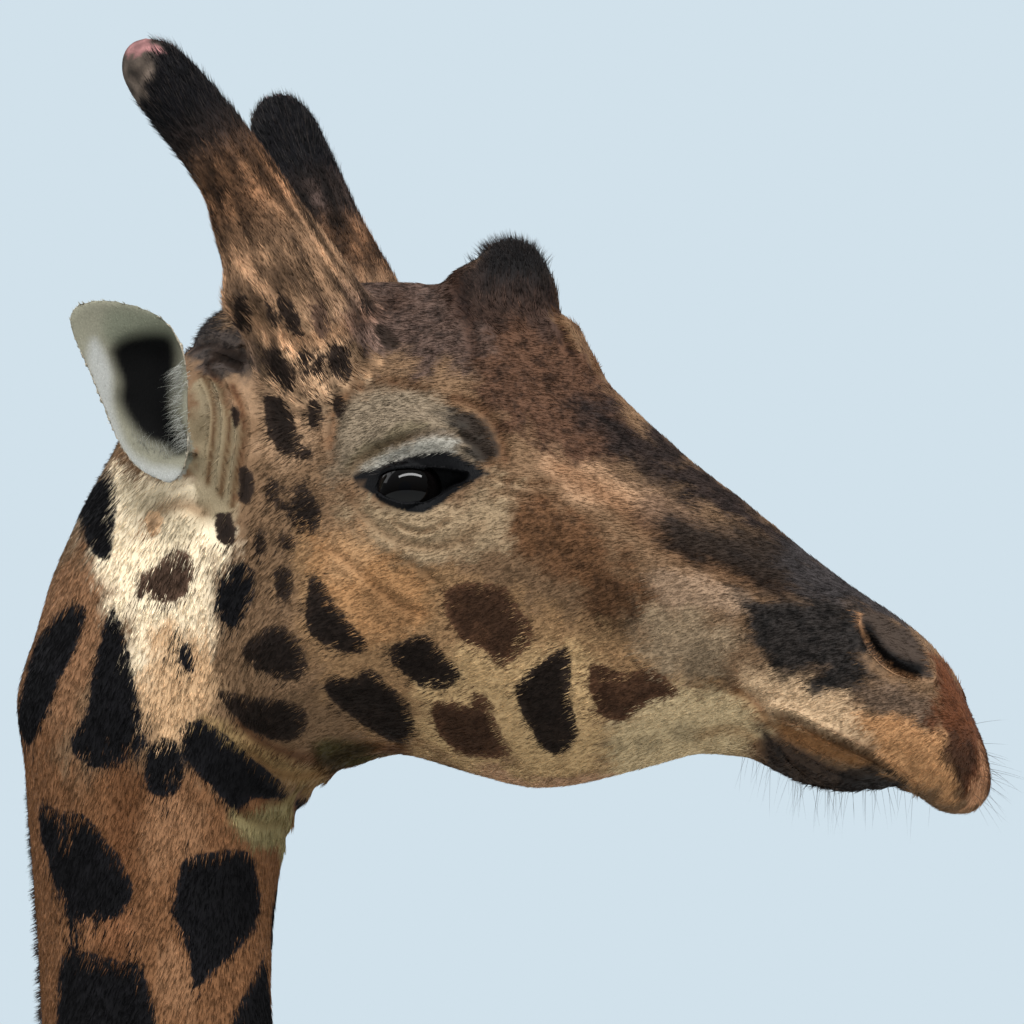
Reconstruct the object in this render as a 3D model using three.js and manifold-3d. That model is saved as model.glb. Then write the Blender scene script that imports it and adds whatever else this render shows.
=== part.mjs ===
// A bull giraffe, life-size and standing. Millimetres, +Z up; the animal looks along +X, then its
// head is turned to its left. One smooth body is lofted from named cross-sections and parted with
// thin cuts into head, lower jaw, neck, trunk and legs; ears, horns, eyes, mane, tail and hooves
// are solids of their own.
import * as THREE from "three";
import { mergeVertices } from "three/addons/utils/BufferGeometryUtils.js";
import Module from "manifold-3d";

const wasm = await Module();
wasm.setup();

// Driving dimensions
const EYE_HEIGHT = 4950; // from the floor to the middle of the eyes
const NECK_AXIS_X = 1195; // the upright line that the head turns about
const EYE_REACH = 264; // from that line forward to the eyes
const HEAD_TURN = THREE.MathUtils.degToRad(20);
const TURN_FROM = 4150; // the turn builds up between these two heights
const TURN_TO = 4680;
const EYE_RADIUS = 27;
const EYE_SPREAD = 91; // from the middle plane to the centre of each eyeball
const EYE_BACK = 15; // the eyeball's centre lies this far behind the middle of its opening
const GAP = 0.3; // left between pieces that touch
const BODY_SIDES = 20; // corners of a cross-section
const LEG_SIDES = 10;
const BALL_SIDES = 10;
const BALL_RINGS = 6;
const HORN_SIDES = 10;
const HORN_RINGS = 10;
const MANE_SIDES = 8;
const TAIL_SIDES = 10;
const FORE_SPREAD = 195; // from the middle plane to the middle of a fore leg
const HIND_SPREAD = 190;

// Colours of the coat and horn
const TAN = 0x9a6f47;
const CREAM = 0xc9b18a;
const DARK = 0x2c2622;
const BLACK = 0x0b0a0c;
const HOOF = 0x4a4038;

// ---------------------------------------------------------------- shapes

const LEVELS = [0.1, 0.36, 0.62, 0.87]; // where the half-widths lie, from a section's under side to its top

// A closed ring of points. `top` and `under` lie in the middle plane, `wide` holds the half-widths
// at the four levels, and `y` moves the ring sideways.
function ring({ top, under, wide, y }, sides) {
  const point = (half, level) =>
    new THREE.Vector3(
      THREE.MathUtils.lerp(under[0], top[0], level),
      y + half,
      THREE.MathUtils.lerp(under[1], top[1], level),
    );
  const left = wide.map((half, i) => point(half, LEVELS[i]));
  const right = wide.map((half, i) => point(-half, LEVELS[i])).reverse();
  const outline = [point(0, 0), ...left, point(0, 1), ...right];
  return new THREE.CatmullRomCurve3(outline, true, "centripetal").getPoints(sides).slice(0, -1);
}

// The number on a Catmull-Rom curve through b and c, at share t between them.
function smooth(a, b, c, d, t) {
  const slopeB = (c - a) / 2;
  const slopeC = (d - b) / 2;
  const t2 = t * t;
  const t3 = t2 * t;
  return (
    (2 * t3 - 3 * t2 + 1) * b + (t3 - 2 * t2 + t) * slopeB + (3 * t2 - 2 * t3) * c + (t3 - t2) * slopeC
  );
}

// The given cross-sections and, where one asks for `steps`, more on the way to the next.
function between(stations) {
  const rows = stations.map((s) => [...s.top, ...s.under, ...s.wide, s.y ?? 0]);
  const last = rows.length - 1;
  const rowAt = (i, t) => {
    const [a, b, c, d] = [-1, 0, 1, 2].map((k) => rows[THREE.MathUtils.clamp(i + k, 0, last)]);
    return b.map((value, n) => smooth(a[n], value, c[n], d[n], t));
  };
  const dense = [];
  for (let i = 0; i < last; i++) {
    const { steps = 1 } = stations[i];
    for (let k = 0; k < steps; k++) dense.push(rowAt(i, k / steps));
  }
  dense.push(rows[last]);
  return dense.map((row) => ({
    top: row.slice(0, 2),
    under: row.slice(2, 4),
    wide: row.slice(4, 8),
    y: row[8],
  }));
}

// A closed surface through rings of equal length, with a fan over each end.
function surface(rings) {
  const sides = rings[0].length;
  const middle = (points) =>
    points.reduce((sum, p) => sum.add(p), new THREE.Vector3()).divideScalar(points.length);
  const points = [...rings.flat(), middle(rings[0]), middle(rings.at(-1))];
  const firstCap = rings.length * sides;
  const index = [];
  for (let j = 0; j < sides; j++) {
    const k = (j + 1) % sides;
    for (let i = 0; i < rings.length - 1; i++) {
      const a = i * sides;
      index.push(a + j, a + k, a + sides + j, a + k, a + sides + k, a + sides + j);
    }
    const end = firstCap - sides;
    index.push(firstCap, k, j, firstCap + 1, end + j, end + k);
  }
  const made = new THREE.BufferGeometry().setFromPoints(points).setIndex(index);
  return facesOut(made) ? made : made.setIndex(index.reverse());
}

// True when the triangles, as listed, turn their faces outwards.
function facesOut(geometry) {
  const { array } = geometry.attributes.position;
  const corner = (i) => new THREE.Vector3().fromArray(array, 3 * geometry.index.getX(i));
  let volume = 0;
  for (let i = 0; i < geometry.index.count; i += 3)
    volume += corner(i).dot(corner(i + 1).cross(corner(i + 2)));
  return volume > 0;
}

function loft(stations, sides) {
  return surface(between(stations).map((station) => ring(station, sides)));
}

// The geometry with nothing but its places, and its shared corners merged.
function bare(geometry) {
  const copy = geometry.clone();
  for (const name of ["normal", "uv"]) copy.deleteAttribute(name);
  return mergeVertices(copy, 1e-3);
}

function solid(geometry) {
  const { attributes, index } = bare(geometry);
  const vertProperties = attributes.position.array;
  const triVerts = new Uint32Array(index.array);
  return new wasm.Manifold(new wasm.Mesh({ numProp: 3, vertProperties, triVerts }));
}

// The same shape with every corner pushed out along its normal: the cutter that leaves a gap.
function grown(geometry, by = GAP) {
  const copy = bare(geometry);
  copy.computeVertexNormals();
  const { position, normal } = copy.attributes;
  for (let i = 0; i < position.array.length; i++) position.array[i] += normal.array[i] * by;
  return solid(copy);
}

function largest(made) {
  return made.decompose().sort((a, b) => b.volume() - a.volume())[0];
}

// The two sides of a plane through two points of the middle plane, with the gap between them: the
// first side is the one to the left of the walk from `a` to `b`, seen with +X to the right.
function part(made, a, b) {
  const normal = new THREE.Vector3(a[1] - b[1], 0, b[0] - a[0]).normalize();
  const offset = normal.x * a[0] + normal.z * a[1];
  return [
    made.trimByPlane(normal.toArray(), offset + GAP / 2),
    made.trimByPlane(normal.clone().negate().toArray(), GAP / 2 - offset),
  ];
}

// A right-handed and a left-handed copy; the animal's right side is -Y.
function mirrored(made) {
  return { right: made, left: made.mirror([0, 1, 0]) };
}

// ---------------------------------------------------------------- body, from the lips to the rump

// Sections of the head are measured from the middle of the eyes.
const inHead = ([x, z]) => [x + NECK_AXIS_X + EYE_REACH, z + EYE_HEIGHT];

const HEAD = {
  lipTip: { top: [431, -244], under: [412, -270], wide: [14, 22, 22, 14] },
  upperLip: { top: [424, -214], under: [390, -268], wide: [32, 44, 46, 30], steps: 2 },
  noseFront: { top: [410, -182], under: [368, -252], wide: [44, 56, 56, 40], steps: 2 },
  nostrils: { top: [394, -150], under: [342, -247], wide: [50, 62, 58, 42], steps: 2 },
  lowerLip: { top: [364, -114], under: [304, -250], wide: [46, 62, 58, 38], steps: 2 },
  mouthCorner: { top: [325, -86], under: [266, -236], wide: [40, 60, 59, 34], steps: 2 },
  chin: { top: [277, -48], under: [230, -215], wide: [36, 58, 60, 32] },
  noseBridge: { top: [231, -8], under: [186, -209], wide: [38, 58, 66, 32] },
  noseRoot: { top: [186, 28], under: [136, -219], wide: [43, 64, 77, 36] },
  foreCheek: { top: [145, 66], under: [88, -227], wide: [50, 76, 92, 42], steps: 2 },
  cheek: { top: [110, 102], under: [48, -227], wide: [58, 94, 105, 48], steps: 2 },
  orbitFront: { top: [80, 138], under: [15, -218], wide: [66, 106, 107, 52], steps: 2 },
  forehead: { top: [40, 168], under: [-20, -206], wide: [80, 112, 107, 54], steps: 2 },
  orbitBack: { top: [-14, 182], under: [-55, -194], wide: [88, 111, 105, 54], steps: 2 },
  temple: { top: [-72, 190], under: [-88, -192], wide: [94, 107, 100, 54], steps: 2 },
  crown: { top: [-130, 190], under: [-116, -199], wide: [94, 99, 93, 56], steps: 2 },
  poll: { top: [-185, 178], under: [-137, -212], wide: [82, 91, 89, 60], steps: 2 },
  nape: { top: [-238, 148], under: [-150, -228], wide: [66, 86, 90, 62], steps: 2 },
  atlas: { top: [-286, 96], under: [-158, -246], wide: [60, 85, 90, 62] },
  axis: { top: [-326, 30], under: [-164, -266], wide: [56, 84, 90, 60] },
  throat: { top: [-354, -44], under: [-167, -292], wide: [52, 84, 88, 58] },
  underThroat: { top: [-374, -124], under: [-170, -328], wide: [50, 82, 86, 56] },
  neckTop: { top: [-374, -216], under: [-171, -368], wide: [48, 79, 83, 53] },
  neckVisible: { top: [-366, -310], under: [-167, -416], wide: [47, 77, 81, 52] },
};

const NECK_AND_TRUNK = {
  fourthBone: { top: [1099, 4510], under: [1298, 4440], wide: [48, 77, 81, 52] },
  upperNeck: { top: [1072, 4340], under: [1292, 4270], wide: [50, 80, 85, 55] },
  highNeck: { top: [1036, 4160], under: [1274, 4090], wide: [55, 88, 94, 61] },
  midNeck: { top: [972, 3930], under: [1240, 3850], wide: [63, 100, 107, 72] },
  lowNeck: { top: [866, 3680], under: [1184, 3570], wide: [73, 117, 125, 86] },
  neckFoot: { top: [722, 3440], under: [1112, 3280], wide: [88, 142, 152, 108] },
  neckRoot: { top: [556, 3250], under: [1030, 2985], wide: [105, 178, 192, 138] },
  chest: { top: [402, 3130], under: [944, 2680], wide: [122, 218, 240, 168] },
  shoulder: { top: [262, 3076], under: [832, 2360], wide: [142, 268, 300, 205] },
  brisket: { top: [96, 3022], under: [640, 2045], wide: [162, 308, 338, 200] },
  girth: { top: [-80, 2950], under: [380, 1905], wide: [170, 334, 372, 205] },
  belly: { top: [-255, 2868], under: [84, 1888], wide: [172, 336, 380, 215] },
  loin: { top: [-415, 2796], under: [-180, 1926], wide: [170, 326, 362, 205] },
  flank: { top: [-555, 2732], under: [-420, 2010], wide: [168, 306, 318, 170] },
  croup: { top: [-685, 2656], under: [-620, 2095], wide: [152, 282, 280, 150] },
  haunch: { top: [-806, 2562], under: [-785, 2150], wide: [112, 232, 240, 130] },
  tailHead: { top: [-886, 2462], under: [-880, 2210], wide: [58, 140, 160, 90] },
};

const bodyStations = [
  ...Object.values(HEAD).map((s) => ({ ...s, top: inHead(s.top), under: inHead(s.under) })),
  ...Object.values(NECK_AND_TRUNK),
];
const bodyShape = loft(bodyStations, BODY_SIDES);

// ---------------------------------------------------------------- legs

const FORE_LEG = {
  blade: { top: [400, 2540], under: [660, 2540], wide: [60, 96, 96, 60], y: 160 },
  upperArm: { top: [384, 2230], under: [716, 2230], wide: [84, 116, 112, 76], y: 186 },
  elbow: { top: [404, 1960], under: [690, 1970], wide: [64, 94, 98, 70] },
  forearm: { top: [452, 1720], under: [664, 1730], wide: [50, 76, 80, 56] },
  midForearm: { top: [482, 1470], under: [642, 1475], wide: [42, 62, 64, 48] },
  aboveKnee: { top: [494, 1230], under: [636, 1235], wide: [42, 60, 62, 50] },
  knee: { top: [482, 1085], under: [650, 1090], wide: [54, 74, 76, 62] },
  belowKnee: { top: [490, 955], under: [628, 955], wide: [44, 58, 58, 48] },
  cannonTop: { top: [504, 800], under: [612, 800], wide: [36, 46, 46, 38] },
  cannon: { top: [508, 520], under: [608, 520], wide: [34, 44, 44, 37] },
  aboveFetlock: { top: [500, 385], under: [610, 385], wide: [38, 48, 48, 40] },
  fetlock: { top: [480, 290], under: [622, 295], wide: [46, 60, 60, 50] },
  pastern: { top: [500, 205], under: [640, 195], wide: [44, 60, 62, 52] },
  coronet: { top: [478, 142], under: [664, 122], wide: [52, 80, 84, 62] },
};

const HIND_LEG = {
  hip: { top: [-812, 2450], under: [-520, 2450], wide: [76, 112, 112, 76], y: 146 },
  thigh: { top: [-868, 2200], under: [-404, 2150], wide: [88, 132, 128, 84], y: 172 },
  stifle: { top: [-822, 1930], under: [-398, 1860], wide: [70, 108, 112, 80] },
  gaskin: { top: [-796, 1690], under: [-478, 1600], wide: [54, 84, 88, 62] },
  lowGaskin: { top: [-806, 1460], under: [-590, 1380], wide: [42, 62, 66, 48] },
  aboveHock: { top: [-846, 1270], under: [-672, 1200], wide: [34, 52, 58, 46] },
  hock: { top: [-884, 1120], under: [-704, 1060], wide: [40, 62, 70, 56] },
  belowHock: { top: [-848, 955], under: [-708, 935], wide: [42, 58, 62, 50] },
  shankTop: { top: [-820, 790], under: [-708, 780], wide: [36, 48, 50, 42] },
  shank: { top: [-800, 510], under: [-696, 505], wide: [34, 45, 46, 38] },
  aboveFetlock: { top: [-800, 385], under: [-686, 385], wide: [38, 48, 48, 40] },
  fetlock: { top: [-812, 295], under: [-668, 295], wide: [46, 60, 60, 50] },
  pastern: { top: [-786, 205], under: [-648, 195], wide: [44, 60, 62, 52] },
  coronet: { top: [-806, 142], under: [-624, 122], wide: [52, 78, 82, 60] },
};

// A hoof under its coronet: flared walls down to a flat sole at the floor.
const HOOF_LENGTH = 268;
const HOOF_HEEL = 16; // the sole's reach behind the coronet
const HOOF_WIDE = [56, 88, 94, 66];
const HOOF_CLEFT = 14; // between the two claws at the toe

function hoofStations({ top, under, wide, y }) {
  const heel = top[0] - HOOF_HEEL;
  const sole = { top: [heel, 0], under: [heel + HOOF_LENGTH, 0], wide: HOOF_WIDE, y };
  const flare = 0.45; // how far the wall's middle ring follows the coronet rather than the sole
  const towards = (a, b) => a.map((value, i) => THREE.MathUtils.lerp(value, b[i], flare));
  const wall = {
    top: towards(sole.top, top),
    under: towards(sole.under, under),
    wide: towards(sole.wide, wide),
    y,
  };
  const rim = { top: [top[0], top[1] - GAP], under: [under[0], under[1] - GAP], wide, y };
  return [sole, wall, rim];
}

function leg(stations, spread) {
  const placed = Object.values(stations).map((s) => ({ ...s, y: -(s.y ?? spread) }));
  return { shape: loft(placed, LEG_SIDES), coronet: placed.at(-1) };
}

const legs = {
  fore: { ...leg(FORE_LEG, FORE_SPREAD), cut: [[300, 2090], [800, 2040]], joint: [[420, 1140], [720, 1140]] },
  hind: { ...leg(HIND_LEG, HIND_SPREAD), cut: [[-900, 2060], [-300, 2010]], joint: [[-940, 1150], [-620, 1180]] },
};

// ---------------------------------------------------------------- parting the body

const bothSides = (made) => wasm.Manifold.union(made, made.mirror([0, 1, 0]));

let trunkShape = solid(bodyShape);
let trunkCutter = grown(bodyShape);
for (const { shape, cut } of Object.values(legs)) {
  trunkShape = trunkShape.add(bothSides(part(solid(shape), ...cut)[0]));
  trunkCutter = trunkCutter.add(bothSides(part(grown(shape), ...cut)[0]));
}

const pieces = {};

for (const [name, { shape, coronet, cut, joint }] of Object.entries(legs)) {
  const free = largest(part(solid(shape), ...cut)[1].subtract(trunkCutter));
  const [upper, lower] = part(free, ...joint);
  const hoof = solid(loft(hoofStations(coronet), LEG_SIDES));
  const cleft = new THREE.BoxGeometry(2 * HOOF_LENGTH, HOOF_CLEFT, 2 * HOOF_LENGTH);
  cleft.translate(coronet.under[0], coronet.y, 0);
  const claws = hoof.subtract(solid(cleft)).decompose();
  claws.sort((a, b) => a.boundingBox().min[1] - b.boundingBox().min[1]); // the outer claw first
  const parts = { upper, lower, outer_claw: claws[0], inner_claw: claws[1] };
  for (const [key, made] of Object.entries(parts))
    for (const [side, copy] of Object.entries(mirrored(made)))
      pieces[`${name}_leg_${side}_${key}`] = {
        made: copy,
        colour: key.endsWith("claw") ? HOOF : CREAM,
      };
}

// Planes that part the neck, each walked from behind the neck to its front.
const NECK_CUTS = {
  skullBase: [inHead([-300, 106]), inHead([-140, -244])],
  upper: [[960, 4040], [1320, 3960]],
  middle: [[780, 3560], [1200, 3400]],
  lower: [[440, 3200], [1010, 2820]],
};

const [headBlock, belowHead] = part(trunkShape, ...NECK_CUTS.skullBase);
const [neckUpper, belowUpper] = part(belowHead, ...NECK_CUTS.upper);
const [neckMiddle, belowMiddle] = part(belowUpper, ...NECK_CUTS.middle);
const [neckLower, trunk] = part(belowMiddle, ...NECK_CUTS.lower);
Object.assign(pieces, {
  neck_upper: { made: neckUpper, colour: TAN },
  neck_middle: { made: neckMiddle, colour: TAN },
  neck_lower: { made: neckLower, colour: TAN },
  trunk: { made: trunk, colour: TAN },
});

// ---------------------------------------------------------------- head

const headPoint = (x, y, z) => new THREE.Vector3(x + NECK_AXIS_X + EYE_REACH, y, z + EYE_HEIGHT);

function ball(centre, radius, stretch = [1, 1, 1]) {
  const geometry = new THREE.SphereGeometry(radius, BALL_SIDES, BALL_RINGS);
  return geometry.scale(...stretch).translate(...centre.toArray());
}

// What stands out of the skull: a ridge that climbs to the back of the median horn, two bony knobs
// that step down the forehead in front of it, and on each side the brow over the eye and the
// swelling that the ear grows from.
const swellings = [
  ball(headPoint(4, 0, 171), 27, [1.1, 1.2, 1]),
  ball(headPoint(75, 0, 127), 22, [1, 1.3, 1]),
  ball(headPoint(90, 0, 104), 21, [1, 1.3, 1]),
];
for (const side of [-1, 1]) {
  swellings.push(ball(headPoint(-8, 92 * side, 38), 30, [1.6, 0.85, 0.75]));
  swellings.push(ball(headPoint(-172, 70 * side, 40), 34, [0.95, 0.85, 1.7]));
}
let skull = headBlock;
let skullCutter = trunkCutter;
for (const swelling of swellings) {
  skull = skull.add(solid(swelling));
  skullCutter = skullCutter.add(grown(swelling));
}

// The lower jaw lies under the mouth line and, behind the corner of the mouth, under a cut that
// runs back through the cheek to the angle of the jaw.
const MOUTH_LINE = [
  [408, -330], [374, -256], [356, -237], [334, -221], [309, -207], [288, -197], [271, -190],
  [160, -160], [30, -132], [-40, -142], [-76, -178], [-92, -320],
];

function jawRegion(shift) {
  const line = MOUTH_LINE.map(inHead);
  const moved = line.map(([x, z], i) => {
    const before = line[Math.max(i - 1, 0)];
    const after = line[Math.min(i + 1, line.length - 1)];
    const run = new THREE.Vector2(after[0] - before[0], after[1] - before[1]).normalize();
    return new THREE.Vector2(x + run.y * shift, z - run.x * shift);
  });
  const depth = 400; // wider than the head
  const region = new THREE.ExtrudeGeometry(new THREE.Shape(moved), { depth, bevelEnabled: false });
  return solid(region.rotateX(Math.PI / 2).translate(0, depth / 2, 0));
}

const jaw = largest(skull.intersect(jawRegion(0)));
skull = skull.subtract(jawRegion(GAP));

// The eyeball sits in a socket behind an almond-shaped opening.
const eye = ball(headPoint(-EYE_BACK, -EYE_SPREAD, -1), EYE_RADIUS);
const lids = ball(headPoint(2, -EYE_SPREAD - 22, -1), 20, [1.65, 0.75, 0.88]);
skull = skull.subtract(bothSides(grown(eye).add(solid(lids))));
pieces.head = { made: largest(skull), colour: CREAM };
pieces.lower_jaw = { made: jaw, colour: CREAM };
for (const [side, made] of Object.entries(mirrored(solid(eye))))
  pieces[`eye_${side}`] = { made, colour: BLACK, roughness: 0.1 };

// Rings about a curve, closer together towards its end; `radius` gives their size from the share
// of the way along.
function horn(curve, radius, rings, sides) {
  const sideways = new THREE.Vector3(0, 1, 0);
  const ringAt = (share) => {
    const centre = curve.getPointAt(share);
    const across = new THREE.Vector3().crossVectors(curve.getTangentAt(share), sideways).normalize();
    const along = new THREE.Vector3().crossVectors(curve.getTangentAt(share), across).normalize();
    return Array.from({ length: sides }, (_, j) => {
      const angle = (2 * Math.PI * j) / sides;
      return centre
        .clone()
        .addScaledVector(across, Math.cos(angle) * radius(share))
        .addScaledVector(along, Math.sin(angle) * radius(share));
    });
  };
  const shares = Array.from({ length: rings + 1 }, (_, i) => Math.sin((Math.PI / 2) * (i / rings)));
  return surface(shares.map(ringAt));
}

// An ossicone: a broad root on the skull, a waist, a slightly thicker shaft and a blunt knob.
const KNOB_RADIUS = 29;
const KNOB_SHARE = 0.11; // of the horn's length, taken by the rounding of the knob
const ROOT_RADIUS = 64;
const SHAFT_RADIUS = 32.5;

function ossiconeRadius(share) {
  const fromTop = (1 - share) / KNOB_SHARE;
  if (fromTop < 1) return Math.max(KNOB_RADIUS * Math.sqrt(1 - (1 - fromTop) ** 2), 3);
  const taper = THREE.MathUtils.lerp(SHAFT_RADIUS, KNOB_RADIUS, THREE.MathUtils.smoothstep(share, 0.5, 1));
  return taper + (ROOT_RADIUS - SHAFT_RADIUS) * (1 - THREE.MathUtils.smoothstep(share, 0, 0.62)) ** 1.1;
}

const OSSICONE_TIPS = { right: headPoint(-243, -115, 369), left: headPoint(-220, 115, 368) };
for (const [side, tip] of Object.entries(OSSICONE_TIPS)) {
  const hand = Math.sign(tip.y);
  const curve = new THREE.CatmullRomCurve3([
    headPoint(-92, 36 * hand, 84),
    headPoint(-139, 73 * hand, 210),
    headPoint(-172, 91 * hand, 276),
    tip,
  ]);
  const shape = solid(horn(curve, ossiconeRadius, HORN_RINGS, HORN_SIDES));
  pieces[`ossicone_${side}`] = { made: largest(shape.subtract(skullCutter)), colour: DARK };
}

// The median horn: a low, flat-topped knob between the eyes.
const MEDIAN_PROFILE = [[0, -30], [46, -30], [44, 6], [37, 30], [30, 45], [19, 58], [0, 64]];
const median = new THREE.LatheGeometry(MEDIAN_PROFILE.map(([r, h]) => new THREE.Vector2(r, h)), HORN_SIDES);
median.rotateX(Math.PI / 2).translate(...headPoint(32, 0, 149).toArray());
pieces.ossicone_median = { made: largest(solid(median).subtract(skullCutter)), colour: DARK };

// An ear: a cup that stands out sideways and back. `rear` and `front` are its rims either side of
// the axis, `depth` how far the cup's back lies behind them.
const EAR_BASE = headPoint(-202, -100, 30);
const EAR_TIP = headPoint(-268, -162, 150);
const EAR_FACING = new THREE.Vector3(0.5, -0.83, -0.2);
const EAR_WALL = 5;
const EAR_SECTIONS = [
  { along: -24, rear: 14, front: 12, depth: 10 },
  { along: -10, rear: 24, front: 17, depth: 22 },
  { along: 8, rear: 31, front: 20, depth: 31 },
  { along: 30, rear: 36, front: 29, depth: 36 },
  { along: 54, rear: 35, front: 43, depth: 35 },
  { along: 76, rear: 31, front: 52, depth: 31 },
  { along: 100, rear: 25, front: 53, depth: 25 },
  { along: 122, rear: 20, front: 43, depth: 18 },
  { along: 138, rear: 15, front: 28, depth: 11 },
  { along: 149, rear: 7, front: 10, depth: 5 },
];

const earAxis = EAR_TIP.clone().sub(EAR_BASE).normalize();
const earWidth = new THREE.Vector3().crossVectors(earAxis, EAR_FACING).normalize();
const earOut = new THREE.Vector3().crossVectors(earWidth, earAxis).normalize();
const EAR_ARC = 6; // stretches of each arc, from rim to rim

function earRing({ along, rear, front, depth }) {
  const at = (share, wall) => {
    const sweep = Math.sin(Math.PI * share) ** 0.8;
    return EAR_BASE.clone()
      .addScaledVector(earAxis, along)
      .addScaledVector(earWidth, THREE.MathUtils.lerp(-rear, front, share))
      .addScaledVector(earOut, -depth * sweep - wall * (0.3 + 0.7 * sweep));
  };
  const shares = Array.from({ length: EAR_ARC + 1 }, (_, i) => i / EAR_ARC);
  return [...shares.map((s) => at(s, EAR_WALL)), ...shares.map((s) => at(1 - s, 0))];
}

const earShape = solid(surface(EAR_SECTIONS.map(earRing)));
for (const [side, made] of Object.entries(mirrored(largest(earShape.subtract(skullCutter)))))
  pieces[`ear_${side}`] = { made, colour: CREAM };

// ---------------------------------------------------------------- mane and tail

const MANE_LOW = 5; // height of the crest of hair at the nape and the withers
const MANE_TALL = 58;
const MANE_ROOT = 20; // how deep its section starts inside the neck
const MANE_WIDE = [11, 12, 10, 6];
const firstManeStation = Object.keys(HEAD).indexOf("nape");
const lastManeStation = bodyStations.indexOf(NECK_AND_TRUNK.chest);
const maneStations = bodyStations
  .slice(firstManeStation, lastManeStation + 1)
  .map(({ top, under }, i, all) => {
    const share = i / (all.length - 1);
    const height = THREE.MathUtils.lerp(MANE_LOW, MANE_TALL, Math.sin(Math.PI * share ** 4));
    const up = new THREE.Vector2(top[0] - under[0], top[1] - under[1]).normalize();
    return {
      top: [top[0] + up.x * height, top[1] + up.y * height],
      under: [top[0] - up.x * MANE_ROOT, top[1] - up.y * MANE_ROOT],
      wide: MANE_WIDE,
    };
  });
const maneShape = solid(loft(maneStations, MANE_SIDES)).subtract(skullCutter);
const [maneUpper, belowManeUpper] = part(maneShape, ...NECK_CUTS.upper);
const [maneMiddle, maneLower] = part(belowManeUpper, ...NECK_CUTS.middle);
Object.assign(pieces, {
  mane_upper: { made: largest(maneUpper), colour: DARK },
  mane_middle: { made: largest(maneMiddle), colour: DARK },
  mane_lower: { made: largest(maneLower), colour: DARK },
});

const TAIL = {
  root: { top: [-880, 2465], under: [-862, 2370], wide: [28, 40, 38, 26] },
  dock: { top: [-938, 2436], under: [-898, 2342], wide: [25, 34, 32, 23] },
  bend: { top: [-990, 2330], under: [-934, 2268], wide: [18, 24, 24, 17] },
  whip: { top: [-1016, 2110], under: [-974, 2094], wide: [12, 18, 18, 12] },
  thin: { top: [-1022, 1830], under: [-988, 1826], wide: [10, 14, 14, 10] },
  end: { top: [-1020, 1560], under: [-992, 1560], wide: [8, 12, 12, 8] },
};
const TUFT = {
  start: { top: [-1022, 1560 - GAP], under: [-990, 1560 - GAP], wide: [10, 15, 15, 10] },
  upper: { top: [-1036, 1440], under: [-978, 1440], wide: [20, 28, 28, 20] },
  full: { top: [-1044, 1270], under: [-974, 1270], wide: [26, 36, 36, 26] },
  lower: { top: [-1036, 1120], under: [-984, 1124], wide: [18, 26, 26, 18] },
  tip: { top: [-1016, 1020], under: [-1004, 1020], wide: [3, 5, 5, 3] },
};
const tailLoft = (stations) => solid(loft(Object.values(stations).map((s) => ({ ...s, steps: 2 })), TAIL_SIDES));
pieces.tail = { made: largest(tailLoft(TAIL).subtract(trunkCutter)), colour: TAN };
pieces.tail_tuft = { made: tailLoft(TUFT), colour: BLACK };

// ---------------------------------------------------------------- the finished animal

// Each corner turns about the neck's upright line, by the share of the turn built up at its height.
function turnHead(geometry) {
  const { position } = geometry.attributes;
  for (let i = 0; i < position.count; i++) {
    const share = THREE.MathUtils.smoothstep(position.getZ(i), TURN_FROM, TURN_TO);
    const spot = new THREE.Vector2(position.getX(i), position.getY(i));
    spot.rotateAround(new THREE.Vector2(NECK_AXIS_X, 0), HEAD_TURN * share);
    position.setXY(i, spot.x, spot.y);
  }
  return geometry;
}

function toGeometry(made) {
  const { vertProperties, triVerts } = made.getMesh();
  const geometry = new THREE.BufferGeometry();
  geometry.setAttribute("position", new THREE.BufferAttribute(vertProperties, 3));
  return geometry.setIndex(new THREE.BufferAttribute(triVerts, 1));
}

const giraffe = new THREE.Group();
for (const [name, { made, colour, roughness = 0.85 }] of Object.entries(pieces)) {
  const geometry = turnHead(toGeometry(made));
  geometry.computeVertexNormals();
  const material = new THREE.MeshStandardMaterial({ color: colour, roughness, metalness: 0 });
  const mesh = new THREE.Mesh(geometry, material);
  mesh.name = name;
  giraffe.add(mesh);
}

// The origin lies on the floor, under the middle of the animal's box.
const box = new THREE.Box3().setFromObject(giraffe);
const middle = box.getCenter(new THREE.Vector3());
for (const mesh of giraffe.children) mesh.position.set(-middle.x, -middle.y, -box.min.z);

export default giraffe;
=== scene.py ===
import math

import bmesh
import bpy
import numpy as np
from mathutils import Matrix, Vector, noise
from mathutils.bvhtree import BVHTree
from mathutils.kdtree import KDTree


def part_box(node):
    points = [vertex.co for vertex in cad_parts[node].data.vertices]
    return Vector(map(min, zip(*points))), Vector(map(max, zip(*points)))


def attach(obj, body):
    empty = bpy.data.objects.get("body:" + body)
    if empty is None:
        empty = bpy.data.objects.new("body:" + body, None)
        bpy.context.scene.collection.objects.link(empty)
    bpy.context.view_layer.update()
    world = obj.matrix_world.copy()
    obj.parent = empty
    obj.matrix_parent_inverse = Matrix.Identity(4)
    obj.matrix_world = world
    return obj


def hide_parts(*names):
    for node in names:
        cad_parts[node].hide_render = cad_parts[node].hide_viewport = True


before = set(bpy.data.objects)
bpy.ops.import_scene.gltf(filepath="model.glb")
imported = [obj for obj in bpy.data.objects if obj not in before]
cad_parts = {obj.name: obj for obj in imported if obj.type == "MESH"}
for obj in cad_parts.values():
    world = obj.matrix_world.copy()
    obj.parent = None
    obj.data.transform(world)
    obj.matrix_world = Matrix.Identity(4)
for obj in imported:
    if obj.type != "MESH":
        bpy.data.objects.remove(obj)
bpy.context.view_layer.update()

# Blender takes the offsets of its noise vectors from the clock unless a seed is set.
noise.seed_set(7)

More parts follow.
